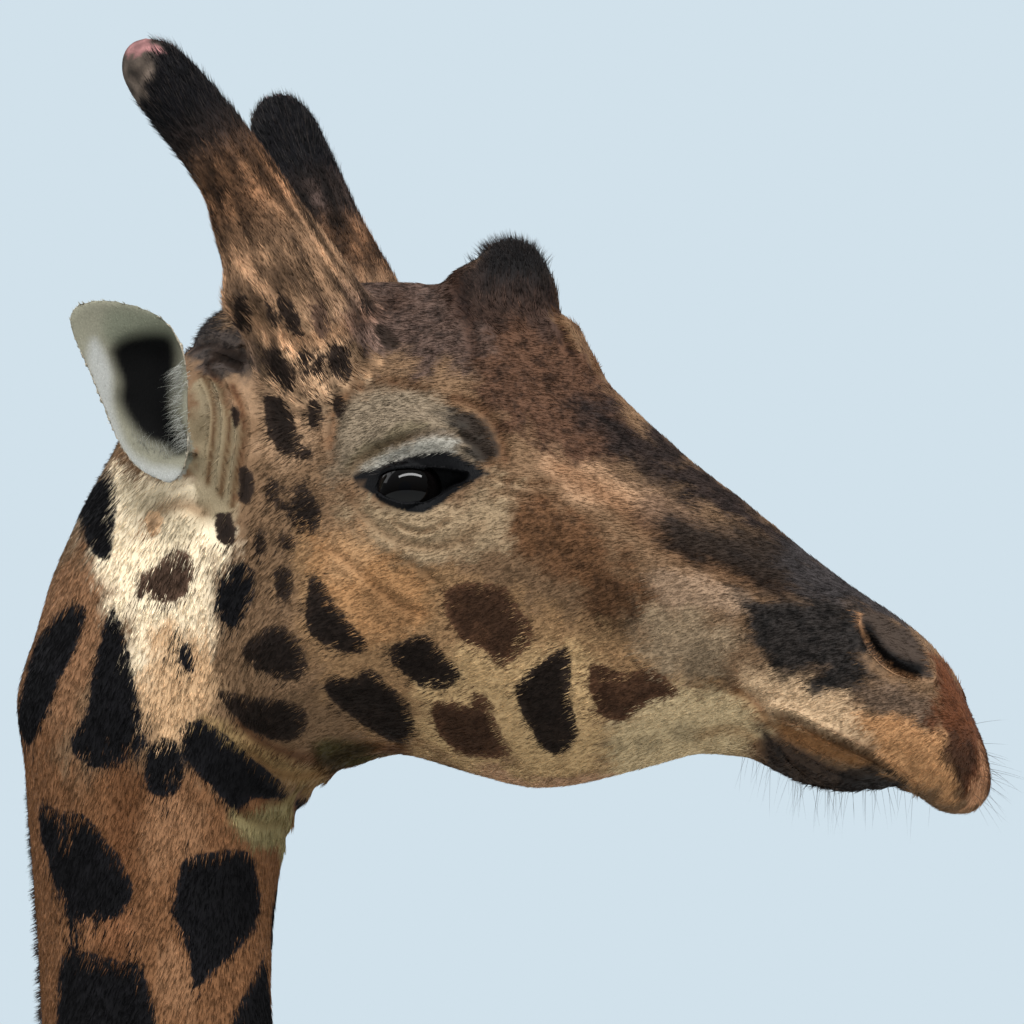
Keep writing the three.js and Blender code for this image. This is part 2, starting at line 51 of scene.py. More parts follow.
# ---- The place it stands in -------------------------------------------------------------------
# A pale floor under open, even daylight. The camera is a long lens low in front of the animal,
# turned up to its head, which stands nearly five metres above the floor.
right_eye = sum(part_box("eye_right"), Vector()) / 2
left_eye = sum(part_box("eye_left"), Vector()) / 2
head_turn = math.atan2(right_eye.x - left_eye.x, left_eye.y - right_eye.y)
EYE_BACK = 0.015
between_eyes = (right_eye + left_eye) / 2 + Vector((math.cos(head_turn), math.sin(head_turn), 0)) * EYE_BACK
VIEW_TURN, VIEW_RISE = math.radians(22), math.radians(-11)
VIEW_DISTANCE, VIEW_WIDTH = 15.0, 0.79872
azimuth = head_turn + VIEW_TURN
view_right = Vector((math.cos(azimuth), math.sin(azimuth), 0))
view_back = Vector((math.sin(azimuth) * math.cos(VIEW_RISE), -math.cos(azimuth) * math.cos(VIEW_RISE),
                    math.sin(VIEW_RISE)))
view_up = view_back.cross(view_right)
aim = between_eyes + view_right * 0.03146 - view_up * 0.00175

camera_data = bpy.data.cameras.new("camera")
camera_data.sensor_width = 36
camera_data.lens = 36 * VIEW_DISTANCE / VIEW_WIDTH
camera_data.clip_end = 200
camera = bpy.data.objects.new("camera", camera_data)
camera.location = aim + view_back * VIEW_DISTANCE
camera.rotation_euler = (-view_back).to_track_quat("-Z", "Y").to_euler()
bpy.context.scene.collection.objects.link(camera)
bpy.context.scene.camera = camera
bpy.context.scene.view_settings.view_transform = "Standard"


class Value:
    """A node's output, so that shader maths reads as plain expressions."""

    def __init__(self, make, socket):
        self.make, self.socket = make, socket

    def maths(self, operation, *others):
        return self.make("ShaderNodeMath", {"operation": operation}, self, *others)

    def __add__(self, other): return self.maths("ADD", other)
    def __radd__(self, other): return self.maths("ADD", other)
    def __sub__(self, other): return self.maths("SUBTRACT", other)
    def __rsub__(self, other): return self.make("ShaderNodeMath", {"operation": "SUBTRACT"}, other, self)
    def __mul__(self, other): return self.maths("MULTIPLY", other)
    def __rmul__(self, other): return self.maths("MULTIPLY", other)
    def __truediv__(self, other): return self.maths("DIVIDE", other)
    def __gt__(self, other): return self.maths("GREATER_THAN", other)
    def __lt__(self, other): return self.maths("LESS_THAN", other)
    def __pow__(self, other): return self.maths("POWER", other)


class Finish:
    """A new material and the one method that adds nodes to it."""

    def __init__(self, name):
        self.material = bpy.data.materials.new(name)
        self.material.use_nodes = True
        self.nodes, self.links = self.material.node_tree.nodes, self.material.node_tree.links
        self.shader = self.nodes["Principled BSDF"]

    def node(self, kind, settings={}, *values, out=0, **named):
        made = self.nodes.new(kind)
        for key, value in settings.items():
            if key == "stops":
                ramp = made.color_ramp
                while len(ramp.elements) < len(value):
                    ramp.elements.new(0.5)
                for element, (place, colour) in zip(ramp.elements, value):
                    element.position, element.color = place, (*colour, 1)
            else:
                setattr(made, key, value)
        for key, value in list(enumerate(values)) + list(named.items()):
            socket = made.inputs[key if isinstance(key, int) else key.replace("_", " ")]
            self.feed(socket, value)
        return Value(self.node, made.outputs[out])

    def feed(self, socket, value):
        if isinstance(value, Value):
            self.links.new(value.socket, socket)
        elif isinstance(value, tuple) and len(value) == 3 and socket.type == "RGBA":
            socket.default_value = (*value, 1)
        else:
            socket.default_value = value

    def set(self, **named):
        for key, value in named.items():
            self.feed(self.shader.inputs[key.replace("_", " ")], value)

    def mixed(self, share, first, second, blend="MIX"):
        return self.node("ShaderNodeMixRGB", {"blend_type": blend}, share, first, second)

    def step(self, value, low, high):
        return self.node("ShaderNodeMapRange", {"interpolation_type": "SMOOTHSTEP"}, value, low, high)

    def noise(self, place, scale, detail=2.0, rough=0.5):
        return self.node("ShaderNodeTexNoise", {}, Vector=place, Scale=scale, Detail=detail, Roughness=rough)

    def scaled(self, colour, by):
        return self.node("ShaderNodeVectorMath", {"operation": "SCALE"}, colour, Scale=by)

    def colour(self, name):
        return self.node("ShaderNodeAttribute", {"attribute_name": name}, out=0)

    def number(self, name):
        return self.node("ShaderNodeAttribute", {"attribute_name": name}, out=2)


def srgb(red, green, blue):
    """A colour named by its 0 to 255 screen values, as the linear colour the shaders take."""
    return tuple(((c / 255 + 0.055) / 1.055) ** 2.4 if c > 10 else c / 255 / 12.92
                 for c in (red, green, blue))


floor_paint = Finish("pale_floor")
floor_place = floor_paint.node("ShaderNodeTexCoord", {}, out=3)
floor_paint.set(Base_Color=floor_paint.mixed(floor_paint.noise(floor_place, 0.8, 4.0) * 0.25,
                                             srgb(214, 214, 210), srgb(196, 196, 190)), Roughness=0.85)
bpy.ops.mesh.primitive_circle_add(vertices=96, radius=24, fill_type="NGON")
floor = bpy.context.object
floor.name = "floor"
floor.data.materials.append(floor_paint.material)

world = bpy.data.worlds.new("even_daylight")
world.use_nodes = True
sky, links = world.node_tree.nodes, world.node_tree.links
backdrop, daylight = sky["Background"], sky.new("ShaderNodeBackground")
backdrop.inputs["Color"].default_value = (*srgb(209, 225, 235), 1)
height, up_sky = sky.new("ShaderNodeTexCoord"), sky.new("ShaderNodeSeparateXYZ")
from_above = sky.new("ShaderNodeMapRange")
from_above.inputs["From Min"].default_value, from_above.inputs["From Max"].default_value = -0.25, 0.8
from_above.inputs["To Min"].default_value, from_above.inputs["To Max"].default_value = 0.22, 1.85
seen, both = sky.new("ShaderNodeLightPath"), sky.new("ShaderNodeMixShader")
sheen, dimmed = sky.new("ShaderNodeMapRange"), sky.new("ShaderNodeMath")
sheen.inputs["To Min"].default_value, sheen.inputs["To Max"].default_value = 1.0, 0.22
dimmed.operation = "MULTIPLY"
daylight.inputs["Color"].default_value = (*srgb(226, 232, 238), 1)
for start, end in ((height.outputs["Generated"], up_sky.inputs[0]), (up_sky.outputs["Z"], from_above.inputs["Value"]),
                   (seen.outputs["Is Glossy Ray"], sheen.inputs["Value"]), (sheen.outputs[0], dimmed.inputs[1]),
                   (from_above.outputs[0], dimmed.inputs[0]), (dimmed.outputs[0], daylight.inputs["Strength"]),
                   (seen.outputs["Is Camera Ray"], both.inputs[0]), (daylight.outputs[0], both.inputs[1]),
                   (backdrop.outputs[0], both.inputs[2]), (both.outputs[0], sky["World Output"].inputs[0])):
    links.new(start, end)
bpy.context.scene.world = world

for name, across, ahead, above, wide, tall, power in (
        ("key_light", 0.2, 3.1, 3.5, 6.8, 0.7, 335), ("rim_light", -3.2, -1.0, 2.6, 3.0, 3.0, 60)):
    light_data = bpy.data.lights.new(name, "AREA")
    light_data.shape = "RECTANGLE"
    light_data.size, light_data.size_y, light_data.energy = wide, tall, power
    light = bpy.data.objects.new(name, light_data)
    level_back = Vector((view_back.x, view_back.y, 0)).normalized()
    light.location = between_eyes + view_right * across + level_back * ahead + Vector((0, 0, above))
    light.rotation_euler = (light.location - between_eyes).to_track_quat("Z", "Y").to_euler()
    bpy.context.scene.collection.objects.link(light)


# ---- The skin ---------------------------------------------------------------------------------
# One unbroken hide over skull, jaw, ears, horn cores, neck, trunk, tail and legs. It is grown in
# one piece, thin and creased about the eyes, nostrils and lips, and loose in folds at the throat.
FLESH = ["head", "lower_jaw", "ear_right", "ear_left", "ossicone_right", "ossicone_left",
         "ossicone_median", "neck_upper", "neck_middle", "neck_lower", "trunk", "tail"]
FLESH += [f"{leg}_leg_{side}_{part}" for leg in ("fore", "hind") for side in ("right", "left")
          for part in ("upper", "lower")]
HEAD_VOXEL, BODY_VOXEL = 0.0034, 0.013
HEAD_TRIANGLES, BODY_TRIANGLES = 128000, 56000
SEAM_HEIGHT = 4.47
COAT_DEPTH = 0.0022
TURN_FROM, TURN_TO = 4.150, 4.680
AXIS_X, AXIS_REACH = between_eyes.x - 0.264 * math.cos(head_turn), 0.264


def smooth_share(low, high, value):
    share = np.clip((value - low) / (high - low), 0, 1)
    return share * share * (3 - 2 * share)


def length_of(vectors):
    return np.sqrt((vectors ** 2).sum(-1))


def unit(vectors):
    return vectors / np.maximum(length_of(vectors), 1e-12)[..., None]


def turned(points, heights, way):
    angle = way * head_turn * smooth_share(TURN_FROM, TURN_TO, heights)
    cosine, sine = np.cos(angle), np.sin(angle)
    return np.stack([points[:, 0] * cosine - points[:, 1] * sine,
                     points[:, 0] * sine + points[:, 1] * cosine, points[:, 2]], 1)


def straight(points):
    """Places in metres on the posed animal, as millimetres on one that looks straight ahead,
    counted from between its eyes: ahead, to its left, up."""
    moved = points - [AXIS_X, 0, 0]
    moved = turned(moved, points[:, 2], -1)
    return (moved - [AXIS_REACH, 0, between_eyes.z + 0.001]) * 1000


def posed(points):
    moved = points / 1000 + [AXIS_REACH, 0, between_eyes.z + 0.001]
    return turned(moved, moved[:, 2], 1) + [AXIS_X, 0, 0]


def plain_mesh(name, corners, faces):
    mesh = bpy.data.meshes.new(name)
    mesh.from_pydata([], [], [])
    faces = np.asarray(faces)
    mesh.vertices.add(len(corners))
    mesh.vertices.foreach_set("co", np.asarray(corners, np.float32).ravel())
    sides = faces.shape[1]
    mesh.loops.add(faces.size)
    mesh.loops.foreach_set("vertex_index", faces.astype(np.int32).ravel())
    mesh.polygons.add(len(faces))
    mesh.polygons.foreach_set("loop_start", np.arange(0, faces.size, sides, dtype=np.int32))
    mesh.update(calc_edges=True)
    return mesh


def corners_of(mesh):
    corners = np.zeros(len(mesh.vertices) * 3)
    mesh.vertices.foreach_get("co", corners)
    return corners.reshape(-1, 3)


def triangles_of(mesh):
    mesh.calc_loop_triangles()
    triangles = np.zeros(len(mesh.loop_triangles) * 3, np.int32)
    mesh.loop_triangles.foreach_get("vertices", triangles)
    return triangles.reshape(-1, 3)


def corner_normals(corners, triangles):
    faces = np.cross(corners[triangles[:, 1]] - corners[triangles[:, 0]],
                     corners[triangles[:, 2]] - corners[triangles[:, 0]])
    total = np.stack([sum(np.bincount(triangles[:, side], faces[:, axis], len(corners)) for side in range(3))
                      for axis in range(3)], 1)
    return unit(total)


def edges_of(triangles):
    pairs = np.sort(np.concatenate([triangles[:, [0, 1]], triangles[:, [1, 2]], triangles[:, [2, 0]]]), 1)
    return np.unique(pairs, axis=0)


def joined_nodes(names, swell):
    """Copies of CAD nodes as one mesh, each grown a little so that neighbours meet."""
    corners, faces, owners, start = [], [], [], 0
    for index, name in enumerate(names):
        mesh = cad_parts[name].data
        places, same = np.unique(np.round(corners_of(mesh), 5), axis=0, return_inverse=True)
        triangles = same.reshape(-1)[triangles_of(mesh)]
        whole = ((triangles[:, 0] != triangles[:, 1]) & (triangles[:, 1] != triangles[:, 2])
                 & (triangles[:, 0] != triangles[:, 2]))
        triangles = triangles[whole]
        corners.append(places + corner_normals(places, triangles) * swell)
        faces.append(triangles + start)
        owners.append(np.full(len(triangles), index))
        start += len(places)
    return np.concatenate(corners), np.concatenate(faces), np.concatenate(owners)


def remeshed(corners, faces, voxel):
    carrier = bpy.data.objects.new("carrier", plain_mesh("carrier", corners, faces))
    bpy.context.scene.collection.objects.link(carrier)
    remesh = carrier.modifiers.new("remesh", "REMESH")
    remesh.mode, remesh.voxel_size = "VOXEL", voxel
    made = bpy.data.meshes.new_from_object(carrier.evaluated_get(bpy.context.evaluated_depsgraph_get()))
    result = corners_of(made), triangles_of(made)
    quads = np.zeros(len(made.polygons) * 4, np.int32)
    made.polygons.foreach_get("vertices", quads)
    bpy.data.objects.remove(carrier)
    return result[0], quads.reshape(-1, 4)


def relaxed(corners, edges, rounds, weight):
    """Corners evened out along the surface without shrinking it."""
    first, second = edges.T
    count = len(corners)
    degree = np.bincount(first, minlength=count) + np.bincount(second, minlength=count)

    def soften(values):
        for _ in range(rounds):
            total = np.stack([np.bincount(first, values[second, axis], count)
                              + np.bincount(second, values[first, axis], count) for axis in range(3)], 1)
            values = values + (0.5 * weight)[:, None] * (total / degree[:, None] - values)
        return values

    softened = soften(corners)
    return softened + soften(corners - softened)


def quad_edges(quads):
    pairs = np.sort(np.concatenate([quads[:, [0, 1]], quads[:, [1, 2]], quads[:, [2, 3]], quads[:, [3, 0]]]), 1)
    return np.unique(pairs, axis=0)



# The animal's own side drawing: millimetres ahead of and above a point between the eyes, seen a
# little from in front and below. The left half of the head mirrors the right.
DRAWN_TURN, DRAWN_RISE, DRAWN_UNIT = VIEW_TURN, VIEW_RISE, 0.78
DRAWN_FROM = np.array([471.67, 509.76])


def near_half(places):
    return np.stack([places[:, 0], -np.abs(places[:, 1]), places[:, 2]], 1)


def drawn(places):
    """Where places of the straight animal's right half come on the side drawing."""
    x, y, z = near_half(places).T
    along = x * math.cos(DRAWN_TURN) + y * math.sin(DRAWN_TURN)
    above = (z * math.cos(DRAWN_RISE) - x * math.sin(DRAWN_TURN) * math.sin(DRAWN_RISE)
             + y * math.cos(DRAWN_TURN) * math.sin(DRAWN_RISE))
    return np.stack([along / DRAWN_UNIT + DRAWN_FROM[0], DRAWN_FROM[1] - above / DRAWN_UNIT], 1)


def curved(points, closed, steps=5):
    """More points along a smooth line through the given ones."""
    points = np.array(points, float)
    count = len(points)
    ahead = lambda index: points[index % count] if closed else points[min(max(index, 0), count - 1)]
    line = []
    for index in range(count if closed else count - 1):
        a, b, c, d = (ahead(index + k) for k in (-1, 0, 1, 2))
        for t in np.arange(steps) / steps:
            line.append(0.5 * (2 * b + (c - a) * t + (2 * a - 5 * b + 4 * c - d) * t ** 2
                               + (3 * b - a - 3 * c + d) * t ** 3))
    if not closed:
        line.append(points[-1])
    return np.array(line)


def reach_to(places, line, closed):
    """Distance in drawing units to a line, how far along it the nearest point lies, and its side."""
    best = np.full(len(places), 1e9)
    along = np.zeros(len(places))
    side = np.zeros(len(places))
    total = len(line) if closed else len(line) - 1
    for index in range(total):
        start, end = line[index], line[(index + 1) % len(line)]
        run = end - start
        share = (((places - start) @ run) / max(run @ run, 1e-9)).clip(0, 1)
        gap = places - start - share[:, None] * run
        reach = length_of(gap)
        closer = reach < best
        best[closer] = reach[closer]
        along[closer] = ((index + share) / total)[closer]
        side[closer] = (run[0] * gap[:, 1] - run[1] * gap[:, 0])[closer]
    return best, along, side


def within(places, outline):
    """Signed distance in drawing units, above zero inside the closed outline."""
    line = curved(outline, True)
    low, high = line.min(0) - 40, line.max(0) + 40
    close = ((places > low) & (places < high)).all(1)
    result = np.full(len(places), -40.0)
    if not close.any():
        return result
    p = places[close]
    inside = np.zeros(len(p), bool)
    for index in range(len(line)):
        a, b = line[index], line[(index + 1) % len(line)]
        spans = (a[1] > p[:, 1]) != (b[1] > p[:, 1])
        crossing = (b[0] - a[0]) * (p[:, 1] - a[1]) / (b[1] - a[1] + 1e-12) + a[0]
        inside ^= spans & (p[:, 0] < crossing)
    reach = reach_to(p, line, True)[0]
    result[close] = np.where(inside, reach, -reach).clip(-40, 40)
    return result



def on_drawing(points, toward):
    """The place on the straight animal's right half of points of the side drawing, and how far each
    stands out towards the side it is drawn from, in millimetres."""
    points = np.asarray(points, float)
    along = (points[:, 0] - DRAWN_FROM[0]) * DRAWN_UNIT
    above = (DRAWN_FROM[1] - points[:, 1]) * DRAWN_UNIT
    sine, cosine, rise, level = (math.sin(DRAWN_TURN), math.cos(DRAWN_TURN), math.sin(DRAWN_RISE),
                                 math.cos(DRAWN_RISE))
    return (along[:, None] * [cosine, sine, 0] + above[:, None] * [-rise * sine, rise * cosine, level]
            + np.asarray(toward)[:, None] * [sine * level, -cosine * level, rise])


# The ear is a cup: a broad pale flange round a deep hollow painted near-black as painted shade, narrow at the front,
# with a lobe.
EAR_RIM = [(66, 318), (74, 305), (88, 299), (108, 298), (130, 301), (150, 308), (167, 318), (180, 336), (189, 360),
           (192, 385), (192, 410), (192, 440), (190, 462), (184, 480), (172, 489), (158, 485), (142, 477),
           (128, 464), (114, 442), (102, 412), (91, 385), (80, 360), (70, 338)]
EAR_HOLLOW = [(113, 350), (126, 340), (150, 335), (170, 338), (177, 356), (175, 382), (172, 405), (178, 428),
              (187, 446), (178, 456), (160, 447), (144, 440), (129, 422), (120, 402), (121, 384), (114, 364)]
EAR_MIDDLE, EAR_ROOT = np.array([148.0, 395.0]), np.array([190.0, 440.0])
EAR_OUT = 25.0
EAR_RINGS = [  # share from hollow edge to rim, pull towards the root, depth behind the rim
    (-0.75, 0.05, 20), (-0.4, 0.03, 19), (-0.12, 0, 15), (0.0, 0, 8), (0.25, 0, 4.5), (0.6, 0, 2.5), (0.88, 0, 0),
    (1.0, 0, 2.5), (1.0, 0, 7), (0.9, 0.03, 15), (0.7, 0.08, 26), (0.45, 0.2, 35), (0.15, 0.42, 42),
    (0.0, 0.7, 46)]


def around(outline, angles):
    """How far a closed outline lies from the ear's middle in each direction."""
    line = curved(outline, True) - EAR_MIDDLE
    angle, reach = np.arctan2(line[:, 1], line[:, 0]), length_of(line)
    order = np.argsort(angle)
    return np.interp(angles, angle[order], reach[order], period=2 * math.pi)


def ear_form():
    """The right ear as a closed shell on the straight animal."""
    angles = np.arange(80) * 2 * math.pi / 80
    ways = np.stack([np.cos(angles), np.sin(angles)], 1)
    inner, outer = around(EAR_HOLLOW, angles), around(EAR_RIM, angles)
    rings = []
    for share, pull, depth in EAR_RINGS:
        reach = inner + (outer - inner) * share if share >= 0 else inner * (1 + share)
        points = EAR_MIDDLE + ways * reach[:, None]
        points = points + (EAR_ROOT - points) * pull
        toward = EAR_OUT - depth - 0.156 * DRAWN_UNIT * (points[:, 0] - EAR_MIDDLE[0])
        rings.append(on_drawing(points, toward))
    corners = np.concatenate(rings + [rings[0].mean(0)[None], rings[-1].mean(0)[None]])
    faces, around_count, last = [], len(angles), len(rings) - 1
    for k in range(around_count):
        after = (k + 1) % around_count
        for ring in range(last):
            low, high = ring * around_count, (ring + 1) * around_count
            faces += [(low + k, high + after, high + k), (low + k, low + after, high + after)]
        faces += [(len(corners) - 2, after, k), (len(corners) - 1, last * around_count + k, last * around_count + after)]
    faces = np.array(faces)
    volume = np.einsum("ij,ij->i", corners[faces[:, 0]], np.cross(corners[faces[:, 1]], corners[faces[:, 2]])).sum()
    return corners, faces if volume > 0 else faces[:, ::-1]


head_names = [name for name in FLESH[:9] if not name.startswith("ear")] + ["eye_right", "eye_left"]
rough, rough_faces, owners = joined_nodes(head_names, 0.001)
for mirror in (1, -1):
    ear_corners, ear_faces = ear_form()
    rough_faces = np.concatenate([rough_faces, ear_faces[:, ::mirror] + len(rough)])
    rough = np.concatenate([rough, posed(ear_corners * [1, mirror, 1])])
    owners = np.concatenate([owners, np.full(len(ear_faces), len(head_names))])
    head_names.append("ear_right" if mirror > 0 else "ear_left")
head_corners, head_quads = remeshed(rough, rough_faces, HEAD_VOXEL)
nearest = BVHTree.FromPolygons(rough.tolist(), rough_faces.tolist())
owner = np.array([owners[nearest.find_nearest(c)[2]] for c in head_corners.tolist()])
head_edges = quad_edges(head_quads)
softness = np.ones(len(head_corners))
for index, name in enumerate(head_names):
    if name.startswith("ear"):
        softness[owner == index] = 0.16
    elif name.startswith("ossicone"):
        softness[owner == index] = 0.5
softness = relaxed(np.repeat(softness[:, None], 3, 1), head_edges, 12, np.ones(len(softness)))[:, 0].clip(0.03, 1)
head_corners = relaxed(head_corners, head_edges, 45, softness)

body_corners, body_faces, _ = joined_nodes(FLESH[7:] + ["head"], 0.001)
body_corners, body_quads = remeshed(body_corners, body_faces, BODY_VOXEL)
body_edges = quad_edges(body_quads)
trunk_share = (smooth_share(1.75, 2.2, body_corners[:, 2]) * 0.9 + 0.1)
body_corners = relaxed(body_corners, body_edges, 14, trunk_share)


def cut_off(corners, faces, height, above):
    """The part of a mesh on one side of a level plane, as triangles, with an open edge there."""
    work = bmesh.new()
    work.from_mesh(plain_mesh("cut", corners, faces))
    bmesh.ops.bisect_plane(work, geom=work.verts[:] + work.edges[:] + work.faces[:], dist=1e-5,
                           plane_co=(0, 0, height), plane_no=(0, 0, 1 if above else -1), clear_inner=True)
    bmesh.ops.triangulate(work, faces=work.faces[:])
    mesh = bpy.data.meshes.new("cut")
    work.to_mesh(mesh)
    work.free()
    return corners_of(mesh), triangles_of(mesh)


def refined(corners, triangles, chosen):
    """The chosen triangles split in four, with their neighbours split to match."""
    work = bmesh.new()
    work.from_mesh(plain_mesh("refine", corners, triangles))
    work.faces.ensure_lookup_table()
    edges = {edge for index in np.flatnonzero(chosen) for edge in work.faces[index].edges}
    bmesh.ops.subdivide_edges(work, edges=list(edges), cuts=1, use_grid_fill=True)
    bmesh.ops.triangulate(work, faces=[face for face in work.faces if len(face.verts) > 3])
    mesh = bpy.data.meshes.new("refined")
    work.to_mesh(mesh)
    work.free()
    return corners_of(mesh), triangles_of(mesh)


head_corners, head_faces = cut_off(head_corners, head_quads, SEAM_HEIGHT, True)

# The eye's opening, its black margin, the nostril and the lips, on the side drawing.
EYE_OPENING = [(368, 484), (380, 479), (396, 475), (418, 473), (437, 473), (452, 475), (470, 477), (453, 483),
               (440, 492), (424, 499), (405, 501), (387, 495), (375, 489)]
EYE_MARGIN = [(350, 476), (376, 470), (403, 460), (438, 453), (455, 455), (472, 464), (490, 475), (478, 481),
              (455, 495), (438, 508), (418, 515), (392, 508), (369, 495), (357, 485)]
NOSTRIL = [(858, 616), (862, 634), (874, 654), (888, 667), (904, 673), (926, 678), (927, 667), (919, 646),
           (906, 631), (889, 621), (873, 612)]
NOSTRIL_SLIT = [(862, 630), (870, 643), (882, 656), (898, 665), (912, 669)]
MOUTH_LINE = [(768, 714), (789, 718), (819, 735), (856, 753), (884, 770), (903, 786)]
LOWER_LIP = [(764, 722), (790, 724), (818, 740), (855, 760), (893, 784), (880, 796), (840, 802), (800, 796),
             (770, 768), (755, 748)]
EAR_FOLDS = [(186, 342), (250, 342), (254, 520), (190, 520)]

places = straight(head_corners)
side = drawn(places)
EYE = np.array([0, -91, -1.0])
NOSTRIL_AT = np.array([379, -52, -139.0])
to_eye = length_of(near_half(places) - EYE)
to_nostril = length_of(near_half(places) - NOSTRIL_AT)
for zone in (62, 40):
    places = straight(head_corners)
    middle = places[head_faces].mean(1)
    near = near_half(middle)
    fine = length_of(near - EYE) < zone
    if zone == 62:
        fine |= length_of(near - NOSTRIL_AT) < 42
        fine |= (within(drawn(middle), EAR_RIM) > -6) & (near[:, 1] < -96) & (near[:, 0] < -150)
        reach = reach_to(drawn(middle), curved(MOUTH_LINE, False), False)[0]
        fine |= ((reach < 14) | (within(drawn(middle), LOWER_LIP) > -3)) & (near[:, 0] > 200)
        fine |= (within(drawn(middle), EAR_FOLDS) > 0) & (near[:, 1] < -20) & (near[:, 0] < -60)
    head_corners, head_faces = refined(head_corners, head_faces, fine)

places = straight(head_corners)
near, side = near_half(places), drawn(places)
to_eye, to_nostril = length_of(near - EYE), length_of(near - NOSTRIL_AT)
view_way = np.array([math.sin(VIEW_TURN) * math.cos(VIEW_RISE), -math.cos(VIEW_TURN) * math.cos(VIEW_RISE),
                     math.sin(VIEW_RISE)])


def facing():
    normals = corner_normals(places, head_faces)
    return normals, smooth_share(-0.1, 0.25, near_half(normals * [1, 1, 1]) @ view_way)


# Brushes: each line is pressed in along the surface, or raised where its depth is below zero.
# line on the side drawing, half width and depth in millimetres
CREASES = [
    ([(350, 474), (360, 462), (376, 452), (398, 443), (424, 437), (450, 434), (470, 441), (484, 453), (492, 466)],
     3.2, 1.7),
    ([(396, 525), (410, 531), (424, 532), (437, 528), (449, 520)], 1.8, 1.6),
    ([(352, 496), (362, 514), (382, 532), (405, 543), (432, 548), (458, 542), (478, 528)], 4.5, 1.2),
    ([(492, 479), (512, 482), (532, 485), (552, 483)], 2.6, 1.5),
    ([(490, 489), (512, 495), (538, 498), (560, 495)], 2.6, 1.2),
    ([(336, 462), (331, 440), (336, 415), (350, 397), (374, 387), (402, 385), (430, 392)], 4.5, 2.2),
    ([(452, 399), (474, 405), (492, 420), (502, 440), (506, 462)], 4.5, 2.2),
    ([(385, 556), (410, 562), (443, 586)], 3.0, 0.9),
    ([(320, 545), (345, 560), (375, 585), (400, 605), (430, 615)], 3.5, 0.9),
    ([(200, 374), (209, 388), (214, 408), (214, 432), (211, 458), (208, 484)], 2.4, 3.0),
    ([(206, 368), (219, 386), (227, 408), (229, 434), (226, 462), (221, 496)], 2.8, 3.4),
    ([(232, 388), (241, 408), (243, 434), (240, 460), (236, 484), (233, 508)], 3.0, 3.0),
    ([(188, 352), (207, 346), (226, 351), (246, 359)], 2.4, 3.0),
    ([(206, 364), (222, 359), (240, 370)], 2.6, 3.0),
    ([(772, 744), (795, 763), (830, 782), (866, 790)], 1.7, 1.5),
    ([(766, 752), (784, 772), (812, 790), (848, 797)], 1.7, 1.5),
    ([(778, 736), (800, 752), (832, 771), (874, 783)], 1.6, 1.2),
    ([(150, 520), (166, 508), (184, 506), (204, 514)], 6.0, 2.0),
    ([(240, 722), (262, 742), (290, 755), (322, 760)], 5.5, 2.6),
    ([(250, 752), (272, 770), (298, 777), (322, 774)], 5.0, 2.2),
    ([(248, 786), (268, 800), (290, 800), (306, 790)], 5.5, 2.0),
    ([(240, 812), (262, 824), (284, 822)], 5.5, 1.6),
    ([(322, 768), (345, 755), (372, 748), (405, 752)], 6.0, 2.5),
    ([(132, 770), (122, 840), (117, 910), (116, 980), (118, 1060), (118, 1140)], 15.0, 6.0),
    ([(700, 735), (725, 728), (748, 735), (762, 752)], 4.0, 1.6),
    ([(735, 690), (752, 702), (766, 722)], 4.5, 2.4),
    ([(560, 470), (610, 500), (660, 540), (720, 570), (780, 590)], 9.0, 1.6),
    ([(455, 277), (462, 300), (470, 330), (476, 360)], 6.0, 2.0),
    ([(548, 290), (560, 322), (572, 352)], 4.0, 2.4),
    ([(575, 322), (590, 345), (600, 372)], 4.0, 2.4),
    ([(232, 300), (262, 330), (300, 345), (350, 330), (400, 300)], 8.0, 1.5),
]
THROAT_FOLDS = np.array([290.0, 780.0])
SWELLINGS = [  # place on the straight animal, how far it spreads, how high
    ((-8, -100, 45), 30, 4.0), ((-55, -96, 36), 24, 3.0), ((60, -84, 6), 34, 2.0),
    ((398, -42, -150), 20, 2.0), ((352, -52, -120), 16, 2.0), ((300, -58, -210), 26, 2.0),
    ((-60, -80, -110), 60, 3.0),
]
DRAWN_SWELLINGS = [  # place on the side drawing, how far it spreads there, how high in millimetres
    ((238, 302), 30, 12.5), ((220, 246), 34, 5.0), ((210, 334), 20, 6.0), ((18, 690), 75, 9.5), ((62, 575), 45, 4.0),
]
normals, visible = facing()
for spot, spread, height in DRAWN_SWELLINGS:
    share = np.exp(-(length_of(side - np.array(spot)) / spread) ** 2) * smooth_share(-2, -14, within(side, EAR_RIM))
    places += normals * (share * height)[:, None]
for spot, spread, height in SWELLINGS:
    share = np.exp(-(length_of(near - np.array(spot)) / spread) ** 2)
    places += normals * (share * height)[:, None]
in_ear = smooth_share(-9, 3, within(side, EAR_RIM))
for line, half_width, depth in CREASES:
    reach, along, _ = reach_to(side, curved(line, False), False)
    fade = smooth_share(0, 0.18, along) * smooth_share(1, 0.82, along)
    share = np.exp(-(reach * DRAWN_UNIT / half_width) ** 2) * fade * visible * (1 - in_ear)
    edge = np.exp(-((reach * DRAWN_UNIT - 2.2 * half_width) / (1.1 * half_width)) ** 2) * fade * visible * (1 - in_ear)
    places -= normals * (share * depth - edge * depth * 0.28)[:, None]
throat = smooth_share(60, 25, length_of(side - THROAT_FOLDS))
places = relaxed(places, edges_of(head_faces), 3, throat)

